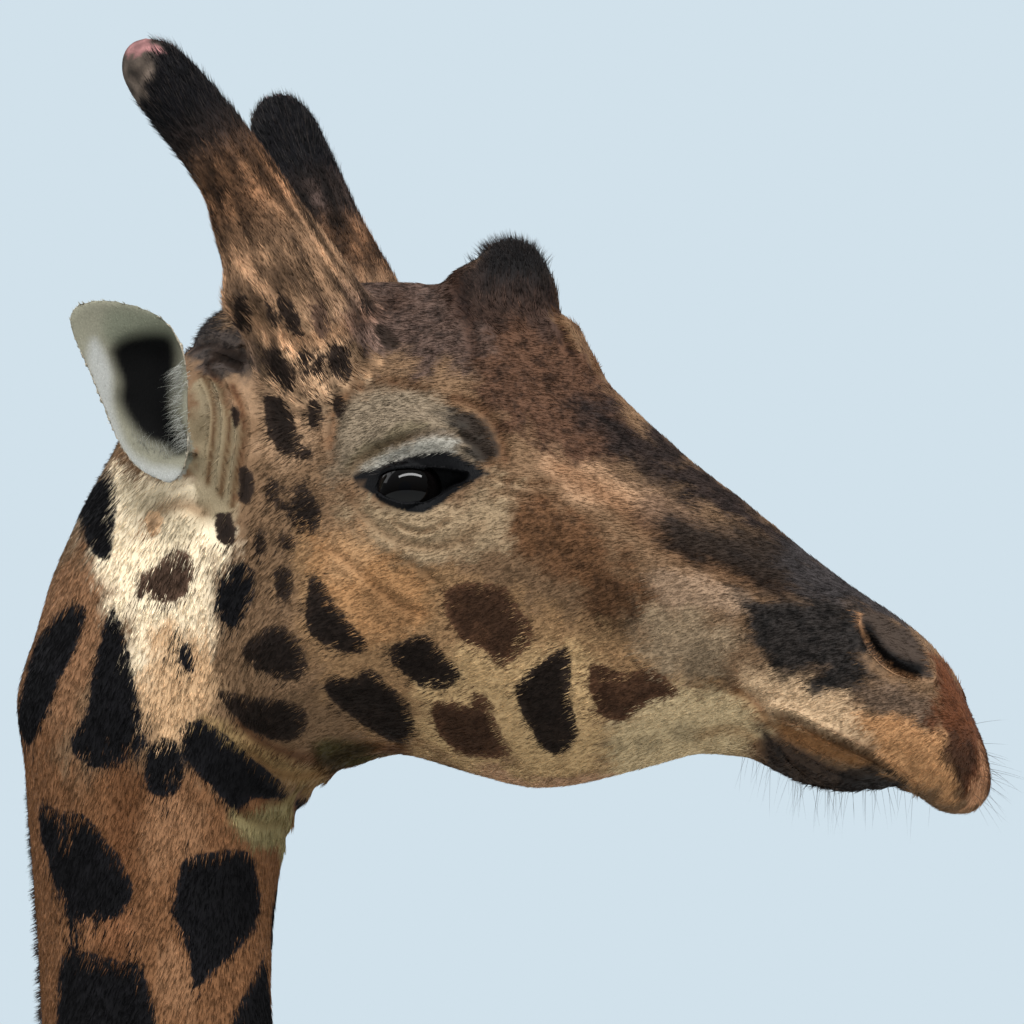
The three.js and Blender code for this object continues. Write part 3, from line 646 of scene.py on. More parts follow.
# Lids: the surface stands off the eyeball outside the opening and dips behind it inside.
EYE_RADIUS = 27.0
signed = within(side, EYE_OPENING) * DRAWN_UNIT
EYEBALL = EYE - [EYE_BACK * 1000, 0, 0]
from_eye = near - EYEBALL
reach = length_of(from_eye)
zone = smooth_share(60, 50, reach) * (near[:, 1] < -88)
lid = EYE_RADIUS + 3.2 - 1.8 * smooth_share(-9, -16, signed)
open_share = smooth_share(-1.1, 1.1, signed)
outward = from_eye @ view_way
off_middle = length_of(from_eye - outward[:, None] * view_way)
floor_of_opening = np.maximum(np.sqrt(np.maximum(26 ** 2 - off_middle ** 2, 0)) - 4, 11.5)
sunk = near + view_way * (np.minimum(floor_of_opening, outward) - outward)[:, None]
raised = EYEBALL + from_eye * (np.maximum(reach, lid) / reach)[:, None]
near_moved = near + (raised + (sunk - raised) * open_share[:, None] - near) * zone[:, None]
moved = near_moved - near
moved[:, 1] *= -np.sign(places[:, 1])
places += moved

# Nostril: a flared rim round a dished opening with a deep slit.
normals, visible = facing()
side = drawn(places)
nostril = within(side, NOSTRIL) * DRAWN_UNIT
close = smooth_share(55, 40, length_of(near_half(places) - NOSTRIL_AT)) * visible
slit = reach_to(side, curved(NOSTRIL_SLIT, False), False)[0] * DRAWN_UNIT
places += normals * (close * (2.4 * np.exp(-((nostril + 2.5) / 3.2) ** 2) - 4.5 * smooth_share(-1.5, 5, nostril)
                              - 12 * np.exp(-(slit / 3.6) ** 2)))[:, None]

# Lips: the upper lip hangs over the lower, which is drawn in under it.
side = drawn(places)
mouth, along, below = reach_to(side, curved(MOUTH_LINE, False), False)
mouth, ahead = mouth * DRAWN_UNIT, smooth_share(190, 240, places[:, 0])
lower = smooth_share(-3, 3, within(side, LOWER_LIP) * DRAWN_UNIT) * ahead * visible
places -= normals * (lower * 4.0 + ahead * visible * smooth_share(0, 0.1, along) * 9 * np.exp(-(mouth / 2.6) ** 2)
                     - ahead * visible * (below < 0) * 2.0 * np.exp(-((mouth - 6) / 4.5) ** 2))[:, None]
normals = corner_normals(places, head_faces)
places -= normals * (COAT_DEPTH * 1000 + 1)
head_corners = posed(places)

# The head's skin is thinned out where it is even, then sewn to the body's below the jaw.
def thinned(corners, triangles, wanted):
    carrier = bpy.data.objects.new("carrier", plain_mesh("carrier", corners, triangles))
    bpy.context.scene.collection.objects.link(carrier)
    thin = carrier.modifiers.new("thin", "DECIMATE")
    thin.ratio = wanted / len(triangles)
    made = bpy.data.meshes.new_from_object(carrier.evaluated_get(bpy.context.evaluated_depsgraph_get()))
    bpy.data.objects.remove(carrier)
    return corners_of(made), triangles_of(made)


def open_ring(corners, triangles):
    """The corners of a mesh's one open edge, in order of their angle about its middle."""
    edges = np.concatenate([triangles[:, [0, 1]], triangles[:, [1, 2]], triangles[:, [2, 0]]])
    ordered = np.sort(edges, 1)
    _, where, count = np.unique(ordered, axis=0, return_index=True, return_counts=True)
    ring = dict(edges[where[count == 1]].tolist())
    start = next(iter(ring))
    line = [start]
    while ring[line[-1]] != start:
        line.append(ring[line[-1]])
    if len(line) != len(ring):
        raise ValueError("the open edge is more than one ring")
    return np.array(line)


def sewn(corners_a, triangles_a, corners_b, triangles_b):
    """Two open meshes joined by a strip between their open edges."""
    ring_a, ring_b = open_ring(corners_a, triangles_a), open_ring(corners_b, triangles_b)[::-1] + len(corners_a)
    corners = np.concatenate([corners_a, corners_b])
    ring_b = np.roll(ring_b, -int(length_of(corners[ring_b] - corners[ring_a[0]]).argmin()))
    strip, i, j = [], 0, 0
    while i < len(ring_a) or j < len(ring_b):
        a, b = ring_a[i % len(ring_a)], ring_b[j % len(ring_b)]
        next_a, next_b = ring_a[(i + 1) % len(ring_a)], ring_b[(j + 1) % len(ring_b)]
        if j >= len(ring_b) or (i < len(ring_a) and length_of(corners[next_a] - corners[b])
                                <= length_of(corners[next_b] - corners[a])):
            strip.append((b, a, next_a)[::-1])
            i += 1
        else:
            strip.append((a, next_b, b)[::-1])
            j += 1
    return corners, np.concatenate([triangles_a, triangles_b + len(corners_a), np.array(strip)])


head_corners, head_faces = thinned(head_corners, head_faces, HEAD_TRIANGLES)
body_triangles = np.concatenate([body_quads[:, [0, 1, 2]], body_quads[:, [0, 2, 3]]])
body_corners = body_corners - corner_normals(body_corners, body_triangles) * (COAT_DEPTH + 0.001)
body_corners, body_faces = cut_off(body_corners, body_quads, SEAM_HEIGHT - 0.006, False)
body_corners, body_faces = thinned(body_corners, body_faces, BODY_TRIANGLES)
skin_corners, skin_faces = sewn(head_corners, head_faces, body_corners, body_faces)
skin_mesh = plain_mesh("skin", skin_corners, skin_faces)
work = bmesh.new()
work.from_mesh(skin_mesh)
bmesh.ops.recalc_face_normals(work, faces=work.faces[:])
work.to_mesh(skin_mesh)
work.free()
skin_mesh.polygons.foreach_set("use_smooth", np.ones(len(skin_mesh.polygons), bool))
skin_faces = triangles_of(skin_mesh)
skin_corners = corners_of(skin_mesh)
skin = bpy.data.objects.new("skin", skin_mesh)
bpy.context.scene.collection.objects.link(skin)
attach(skin, "root")
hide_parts(*FLESH)

# ---- The markings -----------------------------------------------------------------------------
# Near-black patches with ragged edges on a ground that runs from cream behind the ear to tan down
# the neck. The face is beige with a brown brow, a dark bridge, a grey muzzle and orange lips.
GROUND = {  # colour, softness of its edge, strength, how brindled, outline on the side drawing
    "cheek": ((142, 110, 77), 18, 1.0, 0.25, [(300, 540), (420, 560), (520, 600), (640, 640), (740, 690), (760, 745),
                                              (600, 775), (430, 765), (340, 700), (290, 620)]),
    "jaw lines": ((190, 158, 114), 16, 0.8, 0.15, [(440, 670), (560, 640), (600, 655), (600, 760), (480, 765),
                                                   (420, 740)]),
    "front of the jaw": ((190, 166, 128), 14, 1.0, 0.15, [(640, 690), (740, 700), (765, 745), (700, 765),
                                                          (610, 775)]),
    "behind the cheek": ((162, 120, 80), 12, 1.0, 0.2, [(310, 530), (345, 545), (400, 570), (440, 600), (400, 640),
                                                        (360, 640), (320, 590)]),
    "nape": ((130, 94, 66), 16, 1.0, 0.2, [(20, 600), (85, 560), (110, 600), (80, 700), (30, 760), (0, 700)]),
    "under the ear": ((232, 212, 180), 14, 1.0, 0.0, [(100, 476), (160, 482), (205, 496), (236, 530), (205, 600),
                                                      (215, 640), (198, 712), (176, 736), (142, 690), (120, 610),
                                                      (95, 560)]),
    "foot of the cream": ((192, 156, 118), 14, 1.0, 0.1, [(165, 620), (215, 650), (215, 700), (190, 745), (160, 740),
                                                          (140, 690)]),
    "lobe shadow": ((182, 166, 138), 12, 0.8, 0.0, [(124, 472), (150, 492), (186, 500), (214, 512), (196, 545),
                                                    (150, 530), (128, 505)]),
    "neck": ((118, 81, 53), 22, 1.0, 0.4, [(0, 730), (70, 770), (150, 760), (230, 790), (300, 850), (320, 1300),
                                           (-60, 1300)]),
    "neck light": ((142, 104, 74), 12, 0.7, 0.2, [(150, 800), (200, 808), (205, 850), (170, 870), (145, 850)]),
    "neck light low": ((142, 104, 74), 12, 0.7, 0.2, [(160, 945), (190, 950), (200, 1000), (180, 1010), (165, 990)]),
    "neck gap": ((150, 106, 74), 9, 0.8, 0.2, [(80, 925), (112, 920), (128, 905), (134, 940), (110, 950),
                                               (84, 944)]),
    "temple": ((150, 120, 92), 14, 1.0, 0.35, [(215, 280), (300, 285), (350, 340), (330, 420), (300, 470), (255, 440),
                                              (225, 370)]),
    "temple streak": ((150, 122, 95), 10, 0.5, 0.2, [(318, 330), (345, 335), (352, 390), (330, 430), (312, 390)]),
    "behind the horn": ((66, 58, 54), 8, 0.95, 1.0, [(186, 322), (215, 316), (246, 340), (262, 372), (240, 382),
                                                     (212, 374), (190, 362)]),
    "ear root": ((134, 120, 95), 9, 0.95, 0.1, [(194, 378), (216, 384), (234, 420), (238, 470), (230, 528),
                                                 (204, 524), (192, 470), (192, 420)]),
    "forehead": ((84, 66, 57), 18, 1.0, 1.0, [(350, 275), (450, 270), (500, 300), (500, 360), (430, 372),
                                                (370, 350), (330, 310)]),
    "median horn foot": ((68, 50, 41), 12, 1.0, 0.8, [(440, 270), (520, 250), (555, 300), (560, 345), (500, 345),
                                                      (450, 310)]),
    "brow orange": ((86, 60, 44), 16, 1.0, 1.0, [(500, 335), (575, 345), (640, 430), (600, 470), (540, 450),
                                                   (480, 400)]),
    "bridge": ((46, 36, 32), 17, 1.0, 0.9, [(585, 395), (650, 425), (720, 478), (800, 540), (850, 580), (820, 590),
                                            (740, 535), (640, 480), (590, 430)]),
    "nasal streak": ((164, 130, 100), 9, 0.9, 0.2, [(545, 455), (600, 470), (650, 495), (640, 515), (590, 505),
                                                    (548, 480)]),
    "nasal streak end": ((108, 84, 66), 8, 0.9, 0.2, [(640, 495), (700, 520), (640, 530)]),
    "dark stripe": ((30, 25, 23), 11, 0.9, 0.5, [(655, 520), (720, 530), (790, 555), (830, 580), (790, 590),
                                                (720, 570), (660, 545)]),
    "cheek brown": ((102, 71, 47), 14, 1.0, 0.8, [(495, 505), (560, 505), (600, 530), (640, 580), (640, 616),
                                                  (606, 628), (572, 580), (524, 560)]),
    "muzzle light": ((150, 124, 100), 9, 0.9, 0.2, [(660, 570), (740, 590), (760, 610), (700, 615), (650, 600)]),
    "muzzle dark": ((42, 37, 34), 18, 1.0, 1.0, [(745, 600), (800, 590), (850, 600), (870, 650), (850, 690),
                                                 (800, 680), (760, 655)]),
    "nose top": ((56, 51, 50), 10, 1.0, 0.7, [(780, 545), (850, 575), (890, 600), (925, 630), (955, 668), (940, 672),
                                              (925, 640), (850, 605), (800, 590)]),
    "muzzle side": ((148, 126, 100), 12, 1.0, 0.2, [(640, 610), (720, 625), (735, 660), (680, 680), (640, 650)]),
    "lip tan": ((188, 158, 124), 9, 1.0, 0.15, [(745, 668), (800, 680), (850, 706), (886, 738), (900, 760),
                                                (850, 740), (800, 722), (755, 712)]),
    "lip grey": ((98, 80, 66), 8, 0.8, 0.7, [(850, 690), (900, 684), (935, 712), (920, 726), (880, 712)]),
    "lip orange": ((178, 132, 90), 10, 1.0, 0.35, [(850, 718), (900, 716), (935, 738), (955, 770), (948, 800),
                                                   (910, 782), (870, 752)]),
    "lip front": ((96, 57, 35), 13, 1.0, 0.5, [(925, 655), (950, 665), (976, 705), (988, 760), (970, 790),
                                               (950, 760), (930, 715)]),
    "lip dark": ((56, 38, 27), 11, 0.8, 0.4, [(940, 740), (966, 738), (968, 780), (948, 784)]),
    # painted highlight: rim light along the lip's front edge
    "painted highlight on the lip rim": ((198, 146, 108), 8, 0.8, 0.2, [(965, 700), (985, 725), (996, 785), (980, 808), (955, 814),
                                               (972, 790), (975, 750)]),
    "lower lip": ((58, 45, 36), 6, 1.0, 1.0, [(758, 722), (772, 736), (800, 748), (850, 772), (898, 780),
                                              (880, 802), (820, 802), (770, 780)]),
    "lip corner": ((24, 18, 15), 7, 0.9, 0.4, [(846, 766), (876, 768), (900, 782), (882, 804), (830, 802)]),
    "lip lining": ((122, 84, 50), 4, 0.95, 0.2, [(774, 722), (796, 724), (830, 741), (854, 753), (866, 761),
                                                  (846, 762), (816, 752), (784, 738)]),
    "jaw edge": ((196, 154, 120), 8, 0.7, 0.1, [(480, 768), (560, 780), (620, 776), (620, 792), (540, 800),
                                                (470, 790)]),
    "brow pouch": ((122, 107, 88), 12, 1.0, 0.1, [(334, 470), (334, 425), (350, 398), (400, 384), (440, 400),
                                                   (470, 440), (480, 460), (440, 470), (390, 470)]),
    "pouch shade": ((92, 82, 60), 7, 0.6, 0.1, [(345, 465), (375, 436), (410, 423), (430, 428), (400, 444),
                                                  (372, 460)]),
    "upper lid": ((154, 149, 138), 6.5, 0.95, 0.0, [(366, 474), (384, 456), (404, 446), (438, 438), (456, 444),
                                                   (450, 458), (404, 466)]),
    "lid corner": ((30, 27, 25), 9, 0.9, 0.3, [(444, 418), (470, 412), (494, 432), (504, 456), (486, 466),
                                               (460, 455)]),
    "under the eye": ((150, 128, 100), 14, 0.95, 0.1, [(350, 500), (400, 520), (470, 505), (500, 480), (520, 500),
                                                       (500, 540), (430, 560), (370, 540)]),
    "eye fold": ((172, 134, 96), 12, 0.7, 0.2, [(330, 520), (362, 530), (380, 560), (350, 580), (325, 560)]),
    "throat band": ((146, 120, 80), 6, 0.9, 0.2, [(196, 716), (226, 723), (262, 747), (300, 766), (325, 770),
                                                   (322, 782), (290, 784), (254, 760), (220, 736)]),
    "throat roll": ((140, 128, 90), 7, 0.95, 0.1, [(232, 812), (262, 812), (290, 798), (306, 784), (302, 812),
                                                   (288, 840), (262, 846), (240, 834)]),
    "throat": ((44, 43, 8), 6, 0.85, 0.2, [(318, 742), (345, 740), (380, 748), (350, 764), (322, 768)]),
}
LID_BLACK = (9, 9, 11)
EAR_GROUND = [
    ((122, 119, 103), 5, 1.0, [(66, 316), (84, 300), (120, 297), (165, 312), (196, 350), (196, 460), (184, 494),
                               (140, 484), (105, 450), (80, 390)]),
    ((104, 106, 90), 9, 0.9, [(108, 312), (150, 312), (172, 326), (172, 344), (112, 346)]),
    # painted shade: the hollow is painted near-black so that it looks deep
    ((3, 3, 3), 8, 1.0, EAR_HOLLOW),
    ((152, 152, 147), 6, 0.95, [(96, 340), (112, 372), (114, 410), (128, 448), (150, 466), (184, 472), (180, 492),
                                (140, 484), (116, 452), (100, 410), (88, 360)]),
]
NECK_BLACK, RUSTY_BLACK, DUSK = (11, 10, 12), (27, 19, 14), (60, 44, 34)
BROWN, PALE_BROWN = (58, 38, 25), (140, 112, 84)
PATCHES = [  # tone, outline on the side drawing
    (NECK_BLACK, [(103, 470), (113, 480), (115, 500), (113, 545), (108, 563), (92, 555), (82, 535),
                  (78, 510), (85, 490)]),
    (PALE_BROWN, [(144, 525), (148, 513), (158, 513), (163, 524), (158, 537), (149, 537)]),
    (DUSK, [(135, 578), (150, 570), (180, 548), (193, 565), (190, 590), (175, 603), (150, 600)]),
    (NECK_BLACK, [(20, 690), (35, 640), (60, 612), (85, 608), (80, 640), (60, 680), (45, 720), (25, 750),
                  (14, 720)]),
    (NECK_BLACK, [(110, 610), (122, 625), (130, 655), (138, 690), (142, 740), (125, 765), (100, 770),
                  (75, 760), (70, 740), (85, 715), (95, 660)]),
    (NECK_BLACK, [(150, 745), (165, 738), (182, 745), (185, 765), (180, 790), (165, 798), (148, 790),
                  (145, 770)]),
    (NECK_BLACK, [(183, 725), (200, 720), (225, 735), (255, 760), (283, 785), (285, 800), (255, 800),
                  (235, 810), (215, 790), (190, 765), (182, 745)]),
    (NECK_BLACK, [(38, 805), (60, 812), (85, 815), (110, 845), (125, 865), (135, 895), (115, 920),
                  (80, 915), (60, 905), (50, 870), (40, 840)]),
    (NECK_BLACK, [(185, 860), (215, 852), (250, 852), (258, 880), (262, 910), (250, 940), (225, 965),
                  (200, 990), (195, 970), (185, 935), (170, 905), (180, 880)]),
    (NECK_BLACK, [(63, 955), (90, 952), (120, 960), (145, 965), (155, 990), (165, 1024), (150, 1090),
                  (90, 1100), (62, 1040)]),
    (NECK_BLACK, [(235, 1024), (250, 990), (270, 950), (286, 960), (296, 1040), (280, 1100), (240, 1080)]),
    (NECK_BLACK, [(180, 640), (187, 633), (193, 650), (196, 670), (188, 681), (180, 668), (175, 652)]),
    (NECK_BLACK, [(222, 620), (213, 605), (225, 575), (245, 562), (257, 580), (252, 605), (235, 630)]),
    (RUSTY_BLACK, [(243, 650), (255, 635), (275, 625), (295, 635), (310, 665), (300, 680), (275, 678),
                   (250, 665)]),
    (RUSTY_BLACK, [(218, 690), (245, 695), (285, 700), (308, 712), (305, 735), (280, 742), (250, 730),
                   (228, 710)]),
    (RUSTY_BLACK, [(310, 570), (325, 585), (345, 615), (370, 645), (350, 655), (325, 645), (308, 630),
                   (308, 600)]),
    (RUSTY_BLACK, [(387, 652), (415, 637), (430, 636), (445, 655), (462, 672), (450, 688), (430, 690),
                   (405, 675)]),
    (BROWN, [(443, 600), (455, 585), (480, 583), (510, 590), (520, 610), (537, 635), (520, 655),
             (500, 668), (485, 650), (460, 640)]),
    (RUSTY_BLACK, [(325, 690), (335, 675), (355, 680), (370, 668), (390, 685), (410, 705), (415, 735),
                   (400, 745), (370, 730), (345, 712)]),
    (BROWN, [(431, 708), (445, 700), (470, 705), (488, 690), (495, 715), (505, 740), (513, 755),
             (480, 758), (455, 750), (440, 735)]),
    (RUSTY_BLACK, [(515, 690), (530, 670), (560, 648), (572, 655), (570, 690), (577, 735), (560, 755),
                   (540, 745), (525, 720)]),
    (BROWN, [(588, 662), (600, 665), (625, 672), (650, 668), (680, 695), (650, 700), (625, 720),
             (600, 715), (590, 690)]),
    (RUSTY_BLACK, [(262, 351), (280, 353), (294, 372), (296, 394), (280, 388), (266, 372)]),
    (RUSTY_BLACK, [(266, 396), (285, 402), (297, 425), (298, 452), (283, 457), (268, 435), (264, 412)]),
    (RUSTY_BLACK, [(236, 301), (248, 299), (253, 318), (250, 337), (238, 334), (234, 318)]),
    (RUSTY_BLACK, [(277, 298), (288, 299), (301, 320), (304, 340), (291, 334), (281, 318)]),
    (RUSTY_BLACK, [(266, 304), (272, 306), (279, 322), (278, 332), (270, 326)]),
    (DUSK, [(311, 307), (326, 308), (332, 322), (326, 341), (316, 334)]),
    (RUSTY_BLACK, [(359, 301), (368, 300), (376, 312), (370, 318), (362, 312)]),
    (RUSTY_BLACK, [(374, 328), (384, 326), (400, 342), (398, 351), (384, 346)]),
    (RUSTY_BLACK, [(208, 353), (226, 350), (246, 358), (238, 370), (222, 366)]),
    (RUSTY_BLACK, [(297, 355), (305, 353), (310, 370), (307, 387), (299, 378)]),
    (RUSTY_BLACK, [(317, 358), (325, 356), (329, 374), (326, 391), (318, 382)]),
    (RUSTY_BLACK, [(330, 350), (342, 346), (352, 362), (350, 384), (336, 380), (328, 366)]),
    (RUSTY_BLACK, [(308, 404), (318, 402), (324, 418), (320, 433), (309, 428)]),
    (RUSTY_BLACK, [(300, 449), (308, 446), (315, 456), (310, 466), (301, 462)]),
    (RUSTY_BLACK, [(334, 400), (342, 397), (348, 408), (342, 421), (334, 414)]),
    (RUSTY_BLACK, [(289, 488), (305, 485), (320, 505), (324, 528), (310, 536), (294, 524), (288, 505)]),
    (RUSTY_BLACK, [(268, 477), (277, 475), (280, 495), (276, 515), (267, 505)]),
    (RUSTY_BLACK, [(240, 471), (250, 469), (255, 487), (250, 506), (240, 500)]),
    (RUSTY_BLACK, [(217, 515), (230, 513), (237, 530), (232, 548), (220, 544), (215, 530)]),
    (RUSTY_BLACK, [(257, 530), (266, 529), (269, 543), (264, 555), (255, 550)]),
    (RUSTY_BLACK, [(281, 534), (292, 532), (297, 545), (290, 554), (281, 548)]),
    (RUSTY_BLACK, [(275, 568), (287, 565), (295, 582), (290, 600), (278, 596), (273, 582)]),
    (RUSTY_BLACK, [(231, 409), (239, 410), (240, 424), (234, 430)]),
]
FAINT_PATCHES = [
    [(363, 590), (385, 583), (405, 596), (417, 618), (400, 632), (378, 625), (364, 608)],
    [(680, 648), (705, 644), (726, 660), (724, 690), (700, 694), (682, 672)],
    [(590, 580), (612, 574), (634, 594), (638, 630), (620, 645), (600, 628), (588, 604)],
    [(600, 742), (612, 738), (622, 746), (614, 754), (602, 752)],
    [(638, 740), (650, 735), (660, 744), (650, 752), (640, 750)],
    [(670, 728), (684, 722), (698, 732), (686, 742), (672, 740)],
    [(385, 556), (410, 560), (440, 574), (436, 586), (410, 578), (390, 566)],
    [(350, 300), (362, 298), (366, 312), (356, 318)],
    [(366, 324), (376, 320), (382, 334), (372, 340)],
    [(382, 334), (394, 334), (398, 346), (386, 350)],
    [(228, 262), (236, 258), (240, 288), (238, 306), (230, 300), (226, 280)],
    [(262, 250), (270, 246), (278, 268), (280, 296), (272, 290), (264, 270)],
    [(296, 262), (304, 264), (310, 286), (306, 300), (298, 286)],
]


def linear(colours):
    values = np.asarray(colours, float) / 255
    return np.where(values > 0.04045, ((values + 0.055) / 1.055) ** 2.4, values / 12.92)


def marked(corners, normals):
    """The markings at points of the hide, as named numbers and colours."""
    spots = straight(corners)
    side, z = drawn(spots), spots[:, 2]
    count = len(spots)
    # body: tan, paler under the belly and down the lower legs
    low = smooth_share(1.35, 0.75, corners[:, 2])
    ground = linear([124, 88, 58]) + np.zeros((count, 3))
    pale = np.maximum(low, smooth_share(2.15, 1.95, corners[:, 2]) * smooth_share(0.2, -0.5, normals[:, 2])) * 0.8
    ground += (linear([186, 158, 122]) - ground) * pale[:, None]
    head_share = smooth_share(-520, -380, z)
    busy = head_share > 0
    face, brindle = linear([116, 90, 66]) + np.zeros((busy.sum(), 3)), np.full(busy.sum(), 0.25)
    wander = np.array([noise.noise_vector(Vector(spot) * 0.045)[:2] for spot in spots[busy].tolist()])
    wander += np.array([noise.noise_vector(Vector(spot) * 0.16)[:2] for spot in spots[busy].tolist()]) * 0.7
    for colour, soft, strength, how_brindled, outline in GROUND.values():
        stray = wander * (1.4 * soft if soft > 6 else 0)
        edge = soft * (0.65 if soft > 6 else 1)
        share = smooth_share(-edge, edge, within(side[busy] + stray, outline)) * strength
        face += (linear(colour) - face) * share[:, None]
        brindle += (how_brindled - brindle) * share
    found = {"ground": ground, "brindle": np.full(count, 0.25), "patch": np.full(count, -30.0),
             "faint": np.full(count, -30.0), "patch_tone": linear([19, 15, 14]) + np.zeros((count, 3))}
    ground[busy] += (face - ground[busy]) * head_share[busy, None]
    found["brindle"][busy] = brindle
    for tone, outline in PATCHES:
        reach = within(side[busy], outline) * DRAWN_UNIT
        nearer = np.flatnonzero(busy)[reach > found["patch"][busy]]
        found["patch"][busy] = np.maximum(found["patch"][busy], reach)
        found["patch_tone"][nearer] = linear(tone)
    for outline in FAINT_PATCHES:
        found["faint"][busy] = np.maximum(found["faint"][busy], within(side[busy], outline) * DRAWN_UNIT)
    return found, head_share


skin_normals = corner_normals(skin_corners, skin_faces)
spots = straight(skin_corners)
near, side = near_half(spots), drawn(spots)
marks, head_share = marked(skin_corners, skin_normals)
ground, brindle = marks["ground"], marks["brindle"]
straight_normals = corner_normals(spots, skin_faces)
near_normals = straight_normals * np.stack([np.ones(len(spots)), -np.sign(spots[:, 1] + 1e-9), np.ones(len(spots))], 1)
outer_side = near_normals @ view_way
skin_edges = edges_of(skin_faces)

# Which part of the head each place of the skin belongs to, by the nearest solid.
nearest_owner = np.full(len(skin_corners), -1)
high = np.flatnonzero(skin_corners[:, 2] > SEAM_HEIGHT)
nearest_owner[high] = [owners[nearest.find_nearest(c)[2]] for c in skin_corners[high].tolist()]


def owned_by(start):
    return np.isin(nearest_owner, [k for k, name in enumerate(head_names) if name.startswith(start)])


is_ear, is_knob = owned_by("ear"), owned_by("ossicone_median")
is_horn = owned_by("ossicone") & ~is_knob
shares = np.stack([is_ear, is_horn, is_knob], 1).astype(float)
_, horn_share, knob_share = relaxed(shares, skin_edges, 8, np.ones(len(spots))).clip(0, 1).T

# Folds are darker along their floor, where skin shades skin.
fold = np.zeros(len(spots))
for line, half_width, depth in CREASES:
    reach = reach_to(side, curved(line, False), False)[0] * DRAWN_UNIT
    fold = np.maximum(fold, np.exp(-(reach / half_width) ** 2) * min(depth / 3, 1, 6 / half_width))
fold *= smooth_share(-0.1, 0.25, outer_side) * ~is_ear * smooth_share(-420, -360, near[:, 2])
ground *= (1 - 0.78 * fold)[:, None] ** [0.75, 1.0, 1.2]

# Ears: the hollow painted near-black as painted shade for its depth, pale flange and lobe on the inner side, beige on
# the back.
for colour, soft, strength, outline in EAR_GROUND:
    share = smooth_share(-soft, soft, within(side, outline)) * strength * is_ear * smooth_share(-0.15, 0.1, outer_side)
    ground += (linear(colour) - ground) * share[:, None]
behind = is_ear * smooth_share(0.05, -0.2, outer_side)
ground += (linear([166, 156, 138]) - ground) * behind[:, None]
brindle[is_ear] = 0

# Horn cores: brown and streaked low down, black round the top, worn bald and grey at the tip,
# with pink skin on the crown. The baldness runs further down the back.
HORN_ROOT, HORN_TIP = np.array([-92, -36, 84.0]), np.array([-231, -115, 368.0])
horn_way = HORN_TIP - HORN_ROOT
up_horn = ((near - HORN_ROOT) @ horn_way) / (horn_way @ horn_way)
from_axis = near - HORN_ROOT - up_horn[:, None] * horn_way
lean_back = (from_axis @ unit(np.array([-0.8, -0.3, -0.5])) / 30).clip(-1, 1)
left_horn = (spots[:, 1] > 0) * 0.13
mottle = np.zeros(len(spots))
mottle[is_horn] = [noise.noise(Vector(place) * 0.11) for place in near[is_horn].tolist()]
for colour, low, high_at, measure in (
        ((112, 86, 64), 0.10, 0.30, up_horn), ((80, 56, 38), 0.36, 0.54, up_horn + left_horn),
        ((40, 31, 27), 0.60, 0.72, up_horn + left_horn), ((13, 12, 15), 0.70, 0.80, up_horn + left_horn * 0.5),
        ((74, 64, 56), 0.91, 0.96, up_horn + lean_back * 0.085 + mottle * 0.05),
        ((104, 72, 70), 0.985, 1.0, up_horn + near_normals[:, 2] * 0.03 + mottle * 0.07)):
    share = smooth_share(low, high_at, measure) * horn_share
    ground += (linear(colour) - ground) * share[:, None]
    brindle += (0.4 + 0.5 * (low > 0.3) - brindle) * share
streaks = np.zeros(len(spots))
round_horn = np.stack([from_axis[:, 0] / 8, from_axis[:, 1] / 8, up_horn * 9], 1)
streaks[is_horn] = [noise.noise(Vector(place)) for place in round_horn[is_horn].tolist()]
ground *= np.exp(2.0 * streaks * smooth_share(0.78, 0.6, up_horn))[:, None]
horn_bald = smooth_share(0.91, 0.96, up_horn + lean_back * 0.085 + mottle * 0.05) * horn_share
brindle *= 1 - 0.6 * horn_bald
ground *= np.exp(1.3 * mottle * horn_bald)[:, None]
share = smooth_share(130, 185, near[:, 2]) * knob_share
ground += (linear([24, 22, 22]) - ground) * share[:, None]
on_horn = np.maximum(smooth_share(0.42, 0.56, up_horn) * horn_share, np.maximum(is_ear, knob_share)) * 60
marks["patch"] -= on_horn
marks["faint"] -= np.maximum(is_ear, knob_share) * 60

# How far the listed patches hold, and where the body's own net of patches takes over.
on_neck = smooth_share(-250, -420, near[:, 2]) + smooth_share(-150, -230, near[:, 0]) * smooth_share(-20, -80, near[:, 2])
hidden = smooth_share(0.1, -0.12, near_normals @ view_way)
marks["hand"] = np.minimum(np.clip(1 - on_neck * hidden, 0, 1), head_share)
marks["shank"] = smooth_share(0.75, 1.05, skin_corners[:, 2])
margin = smooth_share(-1.2, 1.2, within(side, EYE_MARGIN)) * (length_of(near - EYE) < 60)
in_nostril = smooth_share(-1, 2, within(side, NOSTRIL)) * (length_of(near - NOSTRIL_AT) < 60)
nostril_edge = np.exp(-((within(side, NOSTRIL) + 2.5) / 2.2) ** 2) * (length_of(near - NOSTRIL_AT) < 60)
nostril_edge *= smooth_share(880, 860, side[:, 0]) + smooth_share(640, 660, side[:, 1])
# The nostril's slit is painted near-black: painted shade in its deep opening.
slit = np.exp(-(reach_to(side, curved(NOSTRIL_SLIT, False), False)[0] / 8.0) ** 4) * in_nostril
for colour, share in ((LID_BLACK, margin), ((176, 128, 88), nostril_edge * 0.6 * smooth_share(925, 895, side[:, 0])), ((60, 49, 41), in_nostril),
                      ((6, 5, 5), slit)):
    ground += (linear(colour) - ground) * np.clip(share, 0, 1)[:, None]
    brindle *= 1 - np.clip(share, 0, 1)
wet = np.maximum(0.35 * margin, 0.2 * in_nostril)
marks["wet"] = np.maximum(wet, 0.16 * smooth_share(-2, 4, within(side, LOWER_LIP)) * (near[:, 0] > 200))


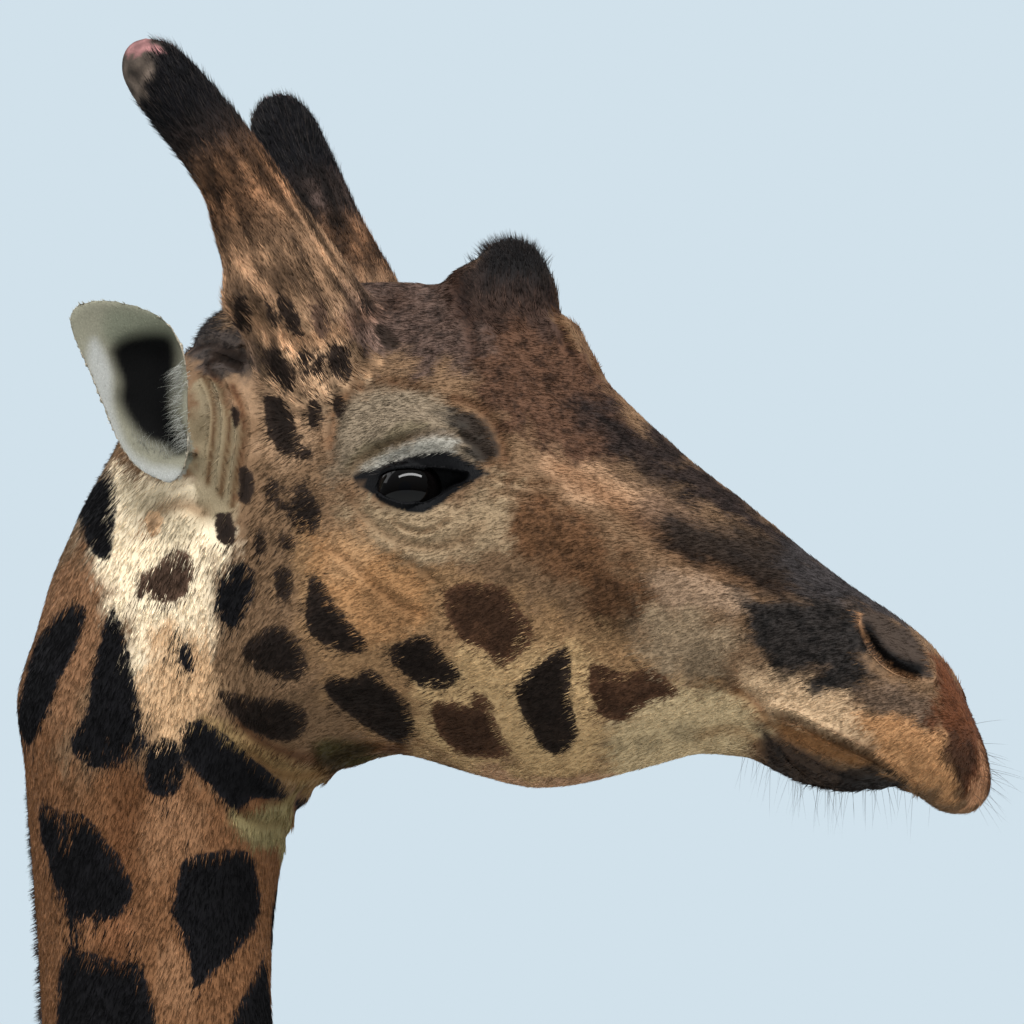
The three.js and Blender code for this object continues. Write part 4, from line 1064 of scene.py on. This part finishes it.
def give_numbers(mesh, name, values):
    values = np.asarray(values, np.float32)
    if values.ndim == 2:
        attribute = mesh.attributes.new(name, "FLOAT_COLOR", "POINT")
        attribute.data.foreach_set("color", np.concatenate([values, np.ones((len(values), 1), np.float32)], 1).ravel())
    else:
        mesh.attributes.new(name, "FLOAT", "POINT").data.foreach_set("value", values)


for name, values in marks.items():
    give_numbers(skin_mesh, name, values)

bpy.context.view_layer.objects.active = skin
skin.select_set(True)
bpy.ops.object.mode_set(mode="EDIT")
bpy.ops.mesh.select_all(action="SELECT")
bpy.ops.uv.smart_project(angle_limit=math.radians(66), island_margin=0.002)
bpy.ops.object.mode_set(mode="OBJECT")
skin.select_set(False)
skin_mesh.uv_layers[0].name = "OFBake"


def pelt(name, bare):
    """The finish of hide and hair alike: the ground with its patches, broken up at the scale of hair."""
    finish = Finish(name)
    place = finish.node("ShaderNodeTexCoord", {}, out=3)
    drift = finish.node("ShaderNodeTexNoise", {}, Vector=place, Scale=14.0, Detail=3.0, out=1)
    swayed = finish.node("ShaderNodeVectorMath", {"operation": "MULTIPLY_ADD"}, drift, (0.05, 0.05, 0.05), place)
    cells = finish.node("ShaderNodeTexVoronoi", {"feature": "DISTANCE_TO_EDGE"}, Vector=swayed, Scale=5.6,
                        Randomness=0.85)
    net = (cells / 5.6 * 1000) - 13.0
    hand = finish.number("hand")
    body_patch = net * finish.number("shank") + (finish.number("shank") - 1) * 60
    edge = finish.noise(place, 160.0, 4.0, 0.7) * 9 - 4.5
    fine = finish.noise(place, 900.0, 2.0, 0.7)
    patch = finish.number("patch") * hand + body_patch * (1 - hand) + edge
    share = finish.step(patch, -1.2, 1.6)
    faint = finish.step(finish.number("faint") + edge, -4.0, 4.0) * 0.55
    ground = finish.colour("ground")
    blotch = finish.step(finish.noise(place, 95.0, 6.0, 0.8), 0.42, 0.64) * finish.number("brindle")
    brindled = finish.mixed(blotch, ground, finish.scaled(ground, 0.28))
    grained = finish.scaled(brindled, fine * 0.7 + 0.68)
    faded = finish.mixed(faint, grained, finish.scaled(grained, 0.46))
    tone = finish.colour("patch_tone")
    rusty = finish.mixed(finish.step(finish.noise(place, 36.0, 4.0, 0.7), 0.48, 0.72) * 0.6, tone,
                         finish.scaled(tone, 2.4))
    fringed = finish.mixed(finish.step(patch, 7.0, 0.0) * 0.7, rusty, finish.scaled(tone, 2.6))
    dark = finish.scaled(fringed, fine * 0.8 + 0.6)
    colour = finish.mixed(share, faded, dark)
    # Each hair is painted darker at its root than at its tip, painted shade between the hairs, and takes a random tone
    # of its own.
    if not bare:
        colour = finish.scaled(colour, finish.number("shade") * 0.95 + finish.number("tip") * 0.4 + 0.5)
    height = finish.noise(finish.node("ShaderNodeMapping", {}, Vector=place, Scale=(1, 1, 0.3)), 700.0, 3.0, 0.65)
    bump = finish.node("ShaderNodeBump", {}, Strength=0.5, Distance=0.0015, Height=height)
    finish.set(Base_Color=colour, Roughness=0.78 - finish.number("wet") * 0.42, Specular_IOR_Level=0.12)
    finish.feed(finish.shader.inputs["Normal"], bump)
    return finish


hide = pelt("hide", True)
skin_mesh.materials.append(hide.material)

# ---- The eyes ---------------------------------------------------------------------------------
# Wet balls five centimetres across, nearly black, set deep under the lids. The clear front stands
# out a little over a dark brown iris with a round black pupil.
for name, centre, out_way in (("eye_ball_right", right_eye, -1), ("eye_ball_left", left_eye, 1)):
    bpy.ops.mesh.primitive_uv_sphere_add(segments=64, ring_count=40, radius=EYE_RADIUS / 1000)
    ball = bpy.context.object
    ball.name = name
    gaze = Vector(turned(np.array([[0.25, out_way * 0.96, -0.1]]), np.array([9.0]), 1)[0]).normalized()
    turn = gaze.to_track_quat("Z", "Y").to_matrix().to_4x4()
    co = corners_of(ball.data)
    out = unit(co)
    angle = np.degrees(np.arccos(out[:, 2].clip(-1, 1)))
    co *= (1 + 0.035 * np.exp(-(angle / 34) ** 2))[:, None] * 0.985
    ball.data.vertices.foreach_set("co", co.ravel())
    give_numbers(ball.data, "from_pupil", angle)
    turn.translation = centre
    ball.data.transform(turn)
    ball.data.polygons.foreach_set("use_smooth", np.ones(len(ball.data.polygons), bool))
    if out_way < 0:
        wet_eye = Finish("wet_eye")
        angle_here = wet_eye.number("from_pupil")
        iris = wet_eye.mixed(wet_eye.noise(wet_eye.node("ShaderNodeTexCoord", {}, out=3), 400.0), srgb(6, 5, 4),
                             srgb(4, 3, 3))
        wet_eye.set(Base_Color=wet_eye.mixed(wet_eye.step(angle_here, 20.0, 26.0),
                                             wet_eye.mixed(wet_eye.step(angle_here, 9.0, 11.0), srgb(3, 3, 4), iris),
                                             wet_eye.mixed(wet_eye.step(angle_here, 44.0, 52.0), iris,
                                                           srgb(8, 6, 6))),
                    Roughness=0.04, Specular_IOR_Level=0.19)
    ball.data.materials.append(wet_eye.material)
    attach(ball, "root")
    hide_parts("eye_right" if out_way < 0 else "eye_left")

# ---- The coat ---------------------------------------------------------------------------------
# Short stiff hair that lies flat, back along the face and down the neck and legs. It is finest on
# the face, and stands up round the horn cores and inside the ears. Each lock is one thin spike.
chance = np.random.default_rng(7)
skin_faces = triangles_of(skin_mesh)
skin_loops = np.zeros(len(skin_mesh.loop_triangles) * 3, np.int32)
skin_mesh.loop_triangles.foreach_get("loops", skin_loops)
skin_uv = np.zeros(len(skin_mesh.loops) * 2)
skin_mesh.uv_layers[0].data.foreach_get("uv", skin_uv)
face_uv = skin_uv.reshape(-1, 2)[skin_loops.reshape(-1, 3)]
face_area = length_of(np.cross(skin_corners[skin_faces[:, 1]] - skin_corners[skin_faces[:, 0]],
                               skin_corners[skin_faces[:, 2]] - skin_corners[skin_faces[:, 0]])) / 2

lie = np.zeros((len(near), 3)) + [-0.93, -0.05, -0.28]
down_neck = np.clip(smooth_share(-60, -200, near[:, 0]) * smooth_share(120, -60, near[:, 2])
                    + smooth_share(-180, -320, near[:, 2]), 0, 1)[:, None]
lie += (np.array([-0.3, 0, -0.95]) - lie) * down_neck
lie[is_horn] = unit(horn_way)
lie[is_knob] = unit(near[is_knob] - np.array([36, 0, 60.0]))
lie[is_ear] = unit(np.array([-66, -62, 120.0]))
on_trunk = smooth_share(3.3, 2.6, skin_corners[:, 2])[:, None] * smooth_share(1.7, 2.1, skin_corners[:, 2])[:, None]
lie += (np.array([-0.88, 0, -0.48]) - lie) * on_trunk
lie += (np.array([0, 0, -1.0]) - lie) * smooth_share(2.1, 1.8, skin_corners[:, 2])[:, None]
lie = relaxed(lie, skin_edges, 6, np.ones(len(lie)))
lie[:, 1] *= -np.sign(spots[:, 1] + 1e-9)
lie = turned(lie, skin_corners[:, 2], 1)


def roots_on(weight, count):
    """Random places on the skin: position, outward way, lie, markings and place on its unwrap."""
    share = face_area * weight[skin_faces].mean(1)
    face = chance.choice(len(skin_faces), count, p=share / share.sum())
    split = chance.random((count, 2))
    split = np.where(split.sum(1, keepdims=True) > 1, 1 - split, split)
    bary = np.stack([1 - split.sum(1), split[:, 0], split[:, 1]], 1)
    blend = lambda values: (values[skin_faces[face]] * (bary[:, :, None] if values.ndim == 2 else bary)).sum(1)
    near_corner = skin_faces[face, chance.integers(0, 3, count)]
    found = {name: values[near_corner] for name, values in marks.items()}
    found.update(place=blend(skin_corners), out=unit(blend(skin_normals)), way=blend(lie),
                 uv=(face_uv[face] * bary[:, :, None]).sum(1))
    found["way"] = unit(found["way"] - (found["way"] * found["out"]).sum(1, keepdims=True) * found["out"])
    return found


def hair(name, paths, upward, widths, roots, finish, numbers=()):
    """Closed three-sided spikes along paths, joined as one piece that carries its roots' markings."""
    count, steps = paths.shape[:2]
    along = unit(np.gradient(paths, axis=1))[:, :-1]
    up = upward[:, None, :]
    up = unit(up - (up * along).sum(-1, keepdims=True) * along)
    side = np.cross(along, up)
    wide = widths[..., None]
    rings = np.stack([paths[:, :-1] + side * wide * 0.5 - up * wide * 0.18,
                      paths[:, :-1] - side * wide * 0.5 - up * wide * 0.18,
                      paths[:, :-1] + up * wide * 0.36], 2)
    each = 3 * (steps - 1) + 1
    corners = np.concatenate([rings.reshape(count, each - 1, 3), paths[:, -1:]], 1)
    pattern = [(0, 2, 1)]
    for a, b in ((0, 2), (2, 1), (1, 0)):
        for ring in range(steps - 2):
            at = 3 * ring
            pattern += [(at + b, at + a, at + 3 + a), (at + b, at + 3 + a, at + 3 + b)]
        pattern.append((each - 4 + b, each - 4 + a, each - 1))
    pattern = np.array(pattern)
    faces = (pattern[None] + (np.arange(count) * each)[:, None, None]).reshape(-1, 3)
    mesh = plain_mesh(name, corners.reshape(-1, 3), faces)
    spin = np.arange(each) * 2 * math.pi / 3 + 0.4
    spread = 0.0015 * (1 - np.arange(each) / each * 0.5)
    offset = np.stack([np.cos(spin), np.sin(spin)], 1) * spread[:, None]
    uv = (roots["uv"][:, None] + offset[None]).reshape(-1, 2)
    mesh.uv_layers.new(name="OFBake").data.foreach_set("uv", uv[faces.ravel()].astype(np.float32).ravel())
    for key in marks:
        give_numbers(mesh, key, np.repeat(roots[key], each, 0))
    give_numbers(mesh, "tip", np.tile(np.append(np.repeat(np.arange(steps - 1), 3), steps - 1) / (steps - 1), count))
    give_numbers(mesh, "shade", np.repeat(chance.random(count), each))
    mesh.materials.append(finish.material)
    piece = bpy.data.objects.new(name, mesh)
    bpy.context.scene.collection.objects.link(piece)
    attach(piece, "root")
    return piece


def short_coat(name, weight, count, length, width, lift, stray=0.13):
    roots = roots_on(weight, count)
    way = unit(roots["way"] + chance.normal(0, stray, (count, 3)))
    way = unit(way - (way * roots["out"]).sum(1, keepdims=True) * roots["out"])
    angle = np.radians(lift * chance.uniform(0.4, 1.6, count))[:, None]
    long = (length * chance.uniform(0.65, 1.3, count))[:, None]
    start = roots["place"] - roots["out"] * 0.0004
    tip = start + (way * np.cos(angle) + roots["out"] * np.sin(angle)) * long
    widths = (width * chance.uniform(0.7, 1.25, count))[:, None]
    return hair(name, np.stack([start, tip], 1), roots["out"], widths, roots, coat)


coat = pelt("coat", False)
right_half = (spots[:, 1] < 0).astype(float)
high_up = smooth_share(SEAM_HEIGHT - 0.01, SEAM_HEIGHT + 0.01, skin_corners[:, 2])
haired = 1 - np.clip(marks["wet"] * 3, 0, 1)
face_part = high_up * haired * (spots[:, 0] > -130) * ~(is_horn | is_knob | is_ear)
nape_part = high_up * haired * (spots[:, 0] <= -130) * ~(is_horn | is_knob | is_ear)
muzzle_part = face_part * smooth_share(120, 130, spots[:, 0])
cheek_part = face_part - muzzle_part
hollow = smooth_share(-2, 4, within(side, EAR_HOLLOW)) * (outer_side > 0)
by_ear = smooth_share(-5, 5, within(side, EAR_FOLDS)) * (near[:, 1] < -20) * (near[:, 0] < -60)
ear_root_part = (nape_part + cheek_part) * by_ear
nape_part, cheek_part = nape_part * (1 - 0.94 * by_ear), cheek_part * (1 - 0.94 * by_ear)
short_coat("coat_muzzle_right", muzzle_part * right_half, 46000, 0.0066, 0.00075, 9, 0.10)
short_coat("coat_muzzle_left", muzzle_part * (1 - right_half), 33000, 0.0066, 0.0009, 9, 0.10)
short_coat("coat_cheek_right", cheek_part * right_half, 49000, 0.0066, 0.0008, 9, 0.11)
short_coat("coat_cheek_left", cheek_part * (1 - right_half), 38000, 0.0078, 0.0010, 8, 0.10)
short_coat("coat_nape_right", nape_part * right_half, 42000, 0.0084, 0.0010, 9, 0.11)
short_coat("coat_nape_left", nape_part * (1 - right_half), 30000, 0.0094, 0.0012, 8, 0.10)
short_coat("coat_horns", (is_horn * (1 - horn_bald) + is_knob).astype(float), 26000, 0.0100, 0.0009, 12)
short_coat("coat_ears", is_ear * (1 - hollow), 10000, 0.0032, 0.0007, 8)
short_coat("coat_ear_roots", ear_root_part, 12000, 0.0034, 0.0007, 6)
short_coat("coat_body", (1 - high_up), 23000, 0.020, 0.0032, 9)

# ---- Lashes, whiskers and long hair -----------------------------------------------------------
# Single stiff hairs: black lashes on the upper lids, whiskers about the lips, white hairs that
# guard the hollow of the ears, and a dark brush round the horn cores and on the median horn.
skin_form = BVHTree.FromPolygons(skin_corners.tolist(), skin_faces.tolist())
eye_opening_top = [(372, 481), (384, 471), (398, 466), (418, 463), (437, 464), (453, 469), (468, 475)]
EAR_GUARD = [(181, 366), (183, 376), (183, 388), (180, 408), (184, 430), (188, 446)]
EAR_GUARD_LOW = [(134, 440), (146, 448), (160, 452), (172, 456)]


def roots_near(points):
    """The skin's markings and unwrap at the places on it that lie nearest to the points."""
    hits = [skin_form.find_nearest(point) for point in points.tolist()]
    face = np.array([hit[2] for hit in hits])
    corners = skin_faces[face]
    found = {name: values[corners].mean(1) for name, values in marks.items()}
    found.update(place=points, out=unit(skin_normals[corners].mean(1)), uv=face_uv[face].mean(1))
    return found


def long_hair(name, roots, way, length, width, bend, steps, finish):
    """Hairs that set out along `way` and bend towards `bend` as they grow."""
    count = len(way)
    share = np.linspace(0, 1, steps)[None, :, None]
    long = (length * chance.uniform(0.55, 1.15, count))[:, None, None]
    start = (roots["place"] - unit(way) * 0.0015)[:, None]
    paths = start + unit(way)[:, None] * long * share + np.asarray(bend).reshape(-1, 1, 3) * long * share ** 2
    widths = width * (1 - np.linspace(0, 0.7, steps - 1))[None] * chance.uniform(0.8, 1.2, (count, 1))
    return hair(name, paths, np.cross(way, [0.3, 0.2, 1.0]) + 1e-6, widths, roots, finish)


def along_line(line, count, jitter):
    """Random points along a line of the side drawing."""
    line = curved(line, False)
    at = chance.uniform(0, len(line) - 1.001, count)
    low = at.astype(int)
    points = line[low] + (line[low + 1] - line[low]) * (at - low)[:, None]
    return points + chance.normal(0, jitter, (count, 2))


def both_halves(places, ways):
    """The right half's places and ways on the straight animal, and their mirror, on the posed one."""
    flip = np.array([1, -1, 1.0])
    all_places = posed(np.concatenate([places, places * flip]))
    all_ways = turned(np.concatenate([ways, ways * flip]), all_places[:, 2], 1)
    return all_places, all_ways


dark_hair = Finish("dark_hair")
dark_hair.set(Base_Color=dark_hair.mixed(dark_hair.number("shade"), srgb(14, 12, 13), srgb(44, 36, 33)),
              Roughness=0.5, Specular_IOR_Level=0.3)
pale_hair = Finish("pale_hair")
pale_hair.set(Base_Color=pale_hair.mixed(pale_hair.number("shade"), srgb(92, 90, 80), srgb(186, 186, 176)),
              Roughness=0.6, Specular_IOR_Level=0.3)

on_lid = along_line(eye_opening_top, 110, 0.5)
rim_places = on_drawing(on_lid, np.zeros(len(on_lid)))
beyond = rim_places - EYEBALL
inward = beyond @ view_way
stand = np.sqrt(np.maximum((EYE_RADIUS + 1.5) ** 2 - (beyond ** 2).sum(1) + inward ** 2, 1))
rim_places = rim_places + (stand - inward)[:, None] * view_way
lash_way = unit(rim_places - EYE) + [0.15, 0, -0.35] + chance.normal(0, 0.1, rim_places.shape)
lash_places, lash_ways = both_halves(rim_places, lash_way)
long_hair("lashes", roots_near(lash_places), lash_ways, 0.013, 0.00045, (0, 0, 0.12), 4, dark_hair)

guard = np.concatenate([along_line(EAR_GUARD, 300, 2.6), along_line(EAR_GUARD_LOW, 90, 2.6)])
leftward = np.concatenate([np.tile([-1.0, 0.45], (300, 1)), np.tile([0.15, -1.0], (90, 1))])
toward = EAR_OUT - chance.uniform(4, 12, len(guard)) - 0.156 * DRAWN_UNIT * (guard[:, 0] - EAR_MIDDLE[0])
guard_places = on_drawing(guard, toward)
guard_ways = on_drawing(guard + leftward + chance.normal(0, 0.34, guard.shape), toward) - guard_places
guard_places, guard_ways = both_halves(guard_places, guard_ways + view_way * 0.15)
long_hair("ear_hair", roots_near(guard_places), guard_ways, 0.016, 0.0003, (0, 0, -0.2), 4, pale_hair)

ring_part = is_horn * smooth_share(0.66, 0.74, up_horn) * (1 - horn_bald)
roots = roots_on(ring_part, 2000)
long_hair("horn_hair", roots, unit(roots["way"]) + roots["out"] * chance.uniform(0.15, 0.7, (2000, 1)), 0.012,
          0.0006, (0, 0, 0.1), 4, dark_hair)
crown_part = is_knob * smooth_share(176, 205, near[:, 2])
roots = roots_on(crown_part, 1100)
swept = turned(np.tile([-0.45, 0, 0.35], (1100, 1)), roots["place"][:, 2], 1)
long_hair("median_horn_hair", roots, roots["out"] + swept + chance.normal(0, 0.25, (1100, 3)), 0.011, 0.0006,
          (0, 0, 0.1), 4, dark_hair)
tuft_part = smooth_share(30, 14, length_of(side - np.array([205, 318.0]))) * (~is_ear & ~is_horn) * (outer_side > -0.6)
roots = roots_on(tuft_part * high_up, 900)
long_hair("poll_hair", roots, roots["out"] * 0.5 + roots["way"] + chance.normal(0, 0.2, (900, 3)), 0.009, 0.0006,
          (0, 0, 0.1), 4, dark_hair)

WHISKERS = 110
CHIN = np.array([[790, 792], [820, 800], [850, 804], [880, 800]], float)
whisker_weight = np.zeros(len(side))
for spot in CHIN:
    whisker_weight += np.exp(-(length_of(side - spot) / 16) ** 2)
lip_front = 0.5 * np.exp(-(length_of(side - np.array([982, 765.0])) / 26) ** 2)
chin_side = 0.25 * np.exp(-(length_of(side - np.array([755, 765.0])) / 22) ** 2)
whisker_weight = (whisker_weight + lip_front + chin_side) * (near[:, 0] > 200)
roots = roots_on(whisker_weight, WHISKERS)
whisker_way = roots["out"] + turned(np.tile([0.1, 0, -0.5], (WHISKERS, 1)), roots["place"][:, 2], 1)
long_hair("whiskers", roots, whisker_way + chance.normal(0, 0.2, (WHISKERS, 3)), 0.034, 0.00028, (0, 0, -0.12), 5,
          dark_hair)

# ---- The mane ---------------------------------------------------------------------------------
# A stiff upright brush of dark brown hair along the crest, short behind the horns and longest
# over the middle and foot of the neck. It grows from the skin and leans back a little.
MANE = ["mane_upper", "mane_middle", "mane_lower"]
mane_corners, mane_faces, _ = joined_nodes(MANE, 0)
mane_form = BVHTree.FromPolygons(mane_corners.tolist(), mane_faces.tolist())
mane_height = np.zeros(len(skin_corners))
crest = np.flatnonzero((np.abs(spots[:, 1]) < 26) & (straight_normals[:, 0] < 0.1) & (skin_corners[:, 2] > 3.1)
                       & (skin_corners[:, 2] < 5.1) & ~(is_horn | is_ear | is_knob))
for index in crest:
    start, out = Vector(skin_corners[index]), Vector(skin_normals[index])
    hit = mane_form.ray_cast(start + out * 0.12, -out, 0.12)
    if hit[0] is not None:
        mane_height[index] = 0.12 - hit[3]
mane_weight = (mane_height > 0.003).astype(float)


def mane_hair(name, part, count, steps, width):
    roots = roots_on(mane_weight * part, count)
    nearest_corner = np.array([crest_tree.find(c)[1] for c in roots["place"].tolist()])
    tall = mane_height[nearest_corner] * chance.uniform(0.7, 1.0, count)
    lean = unit(roots["out"] + np.array([0, 0, -0.25]) * chance.uniform(0.2, 1.6, (count, 1))
                + chance.normal(0, 0.10, (count, 3)))
    share = np.linspace(0, 1, steps)[None, :, None]
    paths = (roots["place"] - roots["out"] * 0.002)[:, None] + lean[:, None] * (tall + 0.002)[:, None, None] * share
    paths = paths + np.array([0, 0, -0.12]) * (tall[:, None, None] * share ** 2)
    widths = width * (1 - np.linspace(0, 0.6, steps - 1))[None] * chance.uniform(0.7, 1.3, (count, 1))
    return hair(name, paths, np.cross(lean, [0, 0, 1.0]) + 1e-6, widths, roots, mane_finish)


with_mane = np.flatnonzero(mane_weight)
crest_tree = KDTree(len(with_mane))
for index in with_mane.tolist():
    crest_tree.insert(skin_corners[index], index)
crest_tree.balance()
mane_finish = Finish("mane_hair")
strand_shade = mane_finish.number("shade")
mane_finish.set(Base_Color=mane_finish.mixed(mane_finish.number("tip"),
                                             mane_finish.mixed(strand_shade, srgb(40, 28, 24), srgb(84, 54, 36)),
                                             mane_finish.mixed(strand_shade, srgb(22, 17, 16), srgb(52, 36, 28))),
                Roughness=0.6, Specular_IOR_Level=0.3)
mane_top = mane_hair("mane_top", high_up, 5000, 3, 0.0013)
mane_crest = mane_hair("mane_crest", 1 - high_up, 7000, 3, 0.0030)
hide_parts(*MANE)

# ---- The tail's brush -------------------------------------------------------------------------
# Coarse black hair, up to half a metre long, that hangs in wavy locks from the last of the tail.
tuft_corners, _, _ = joined_nodes(["tail_tuft"], 0)
tuft_low, tuft_high = tuft_corners[:, 2].min(), tuft_corners[:, 2].max()
level = np.linspace(tuft_high, tuft_low, 12)
girth = []
for height in level:
    ring = tuft_corners[np.abs(tuft_corners[:, 2] - height) <= np.sort(np.abs(tuft_corners[:, 2] - height))[11]]
    girth.append((*((ring.min(0) + ring.max(0)) / 2)[:2], (ring[:, :2].max(0) - ring[:, :2].min(0)).min() / 2))
girth = np.array(girth)
count, steps = 1200, 9
near_tail = ((skin_corners[:, 0] < -1.25) & (np.abs(skin_corners[:, 1]) < 0.05) & (skin_corners[:, 2] < tuft_high + 0.2)
             & (skin_corners[:, 2] > tuft_high - 0.03)).astype(float)
roots = roots_on(near_tail, count)
start_at = roots["place"][:, 2]
end_at = tuft_low + 0.004 + (tuft_high - tuft_low) * 0.55 * chance.random(count) ** 1.8
share = np.linspace(0, 1, steps)
heights = start_at[:, None] + (end_at - start_at)[:, None] * share
spin, out_share = chance.uniform(0, 2 * math.pi, count), np.sqrt(chance.random(count)) * 0.86
middle = np.stack([np.interp(-heights, -level, girth[:, axis]) for axis in range(3)], 2)
sway = 0.10 * np.sin(heights * 26 + spin[:, None] * 3)
from_middle = middle[:, :, 2] * (out_share[:, None] + sway * share).clip(0, 0.93)
paths = np.stack([middle[:, :, 0] + from_middle * np.cos(spin)[:, None],
                  middle[:, :, 1] + from_middle * np.sin(spin)[:, None], heights], 2)
blend_in = smooth_share(0, 0.3, share)[None, :, None]
paths = roots["place"][:, None] * (1 - blend_in) + paths * blend_in
paths[:, :, 2] = heights
tail_finish = Finish("tail_hair")
tail_finish.set(Base_Color=tail_finish.mixed(tail_finish.number("shade"), srgb(14, 12, 12), srgb(38, 30, 27)),
                Roughness=0.45, Specular_IOR_Level=0.4)
tail_brush = hair("tail_brush", paths, np.stack([np.cos(spin), np.sin(spin), spin * 0], 1),
                  0.0032 * (1 - share[:-1] * 0.5)[None] * chance.uniform(0.7, 1.3, (count, 1)), roots, tail_finish)
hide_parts("tail_tuft")

# ---- The hooves -------------------------------------------------------------------------------
# Each foot stands on two claws of grown horn, worn smooth and paler at the ground and ringed with
# fine growth lines, flat underneath.
hoof_horn = Finish("hoof_horn")
hoof_place = hoof_horn.node("ShaderNodeTexCoord", {}, out=3)
growth = hoof_horn.node("ShaderNodeTexWave", {"bands_direction": "Z"}, Vector=hoof_place, Scale=38.0, Distortion=1.6,
                        Detail=3.0, out=1)
up_hoof = hoof_horn.node("ShaderNodeSeparateXYZ", {}, hoof_place, out=2)
worn = hoof_horn.step(up_hoof + hoof_horn.noise(hoof_place, 30.0, 3.0) * 0.05, 0.055, 0.01)
hoof_horn.set(Base_Color=hoof_horn.mixed(worn, hoof_horn.mixed(growth, srgb(38, 32, 28), srgb(66, 55, 46)),
                                         srgb(120, 106, 88)),
              Roughness=0.42 + worn * 0.3, Specular_IOR_Level=0.4)
hoof_horn.feed(hoof_horn.shader.inputs["Normal"],
               hoof_horn.node("ShaderNodeBump", {}, Strength=0.5, Distance=0.0012, Height=growth))
for leg in ("fore", "hind"):
    for side_name in ("right", "left"):
        for claw in ("outer", "inner"):
            node = f"{leg}_leg_{side_name}_{claw}_claw"
            claw_corners, claw_quads = remeshed(*joined_nodes([node], 0)[:2], 0.007)
            claw_corners = relaxed(claw_corners, quad_edges(claw_quads), 4, np.ones(len(claw_corners)))
            claw_corners[:, 2] = np.maximum(claw_corners[:, 2], 0.0)
            hoof_mesh = plain_mesh(f"hoof_{leg}_{side_name}_{claw}", claw_corners, claw_quads)
            hoof_mesh.polygons.foreach_set("use_smooth", np.ones(len(hoof_mesh.polygons), bool))
            hoof_mesh.materials.append(hoof_horn.material)
            hoof = bpy.data.objects.new(hoof_mesh.name, hoof_mesh)
            bpy.context.scene.collection.objects.link(hoof)
            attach(hoof, "root")
            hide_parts(node)
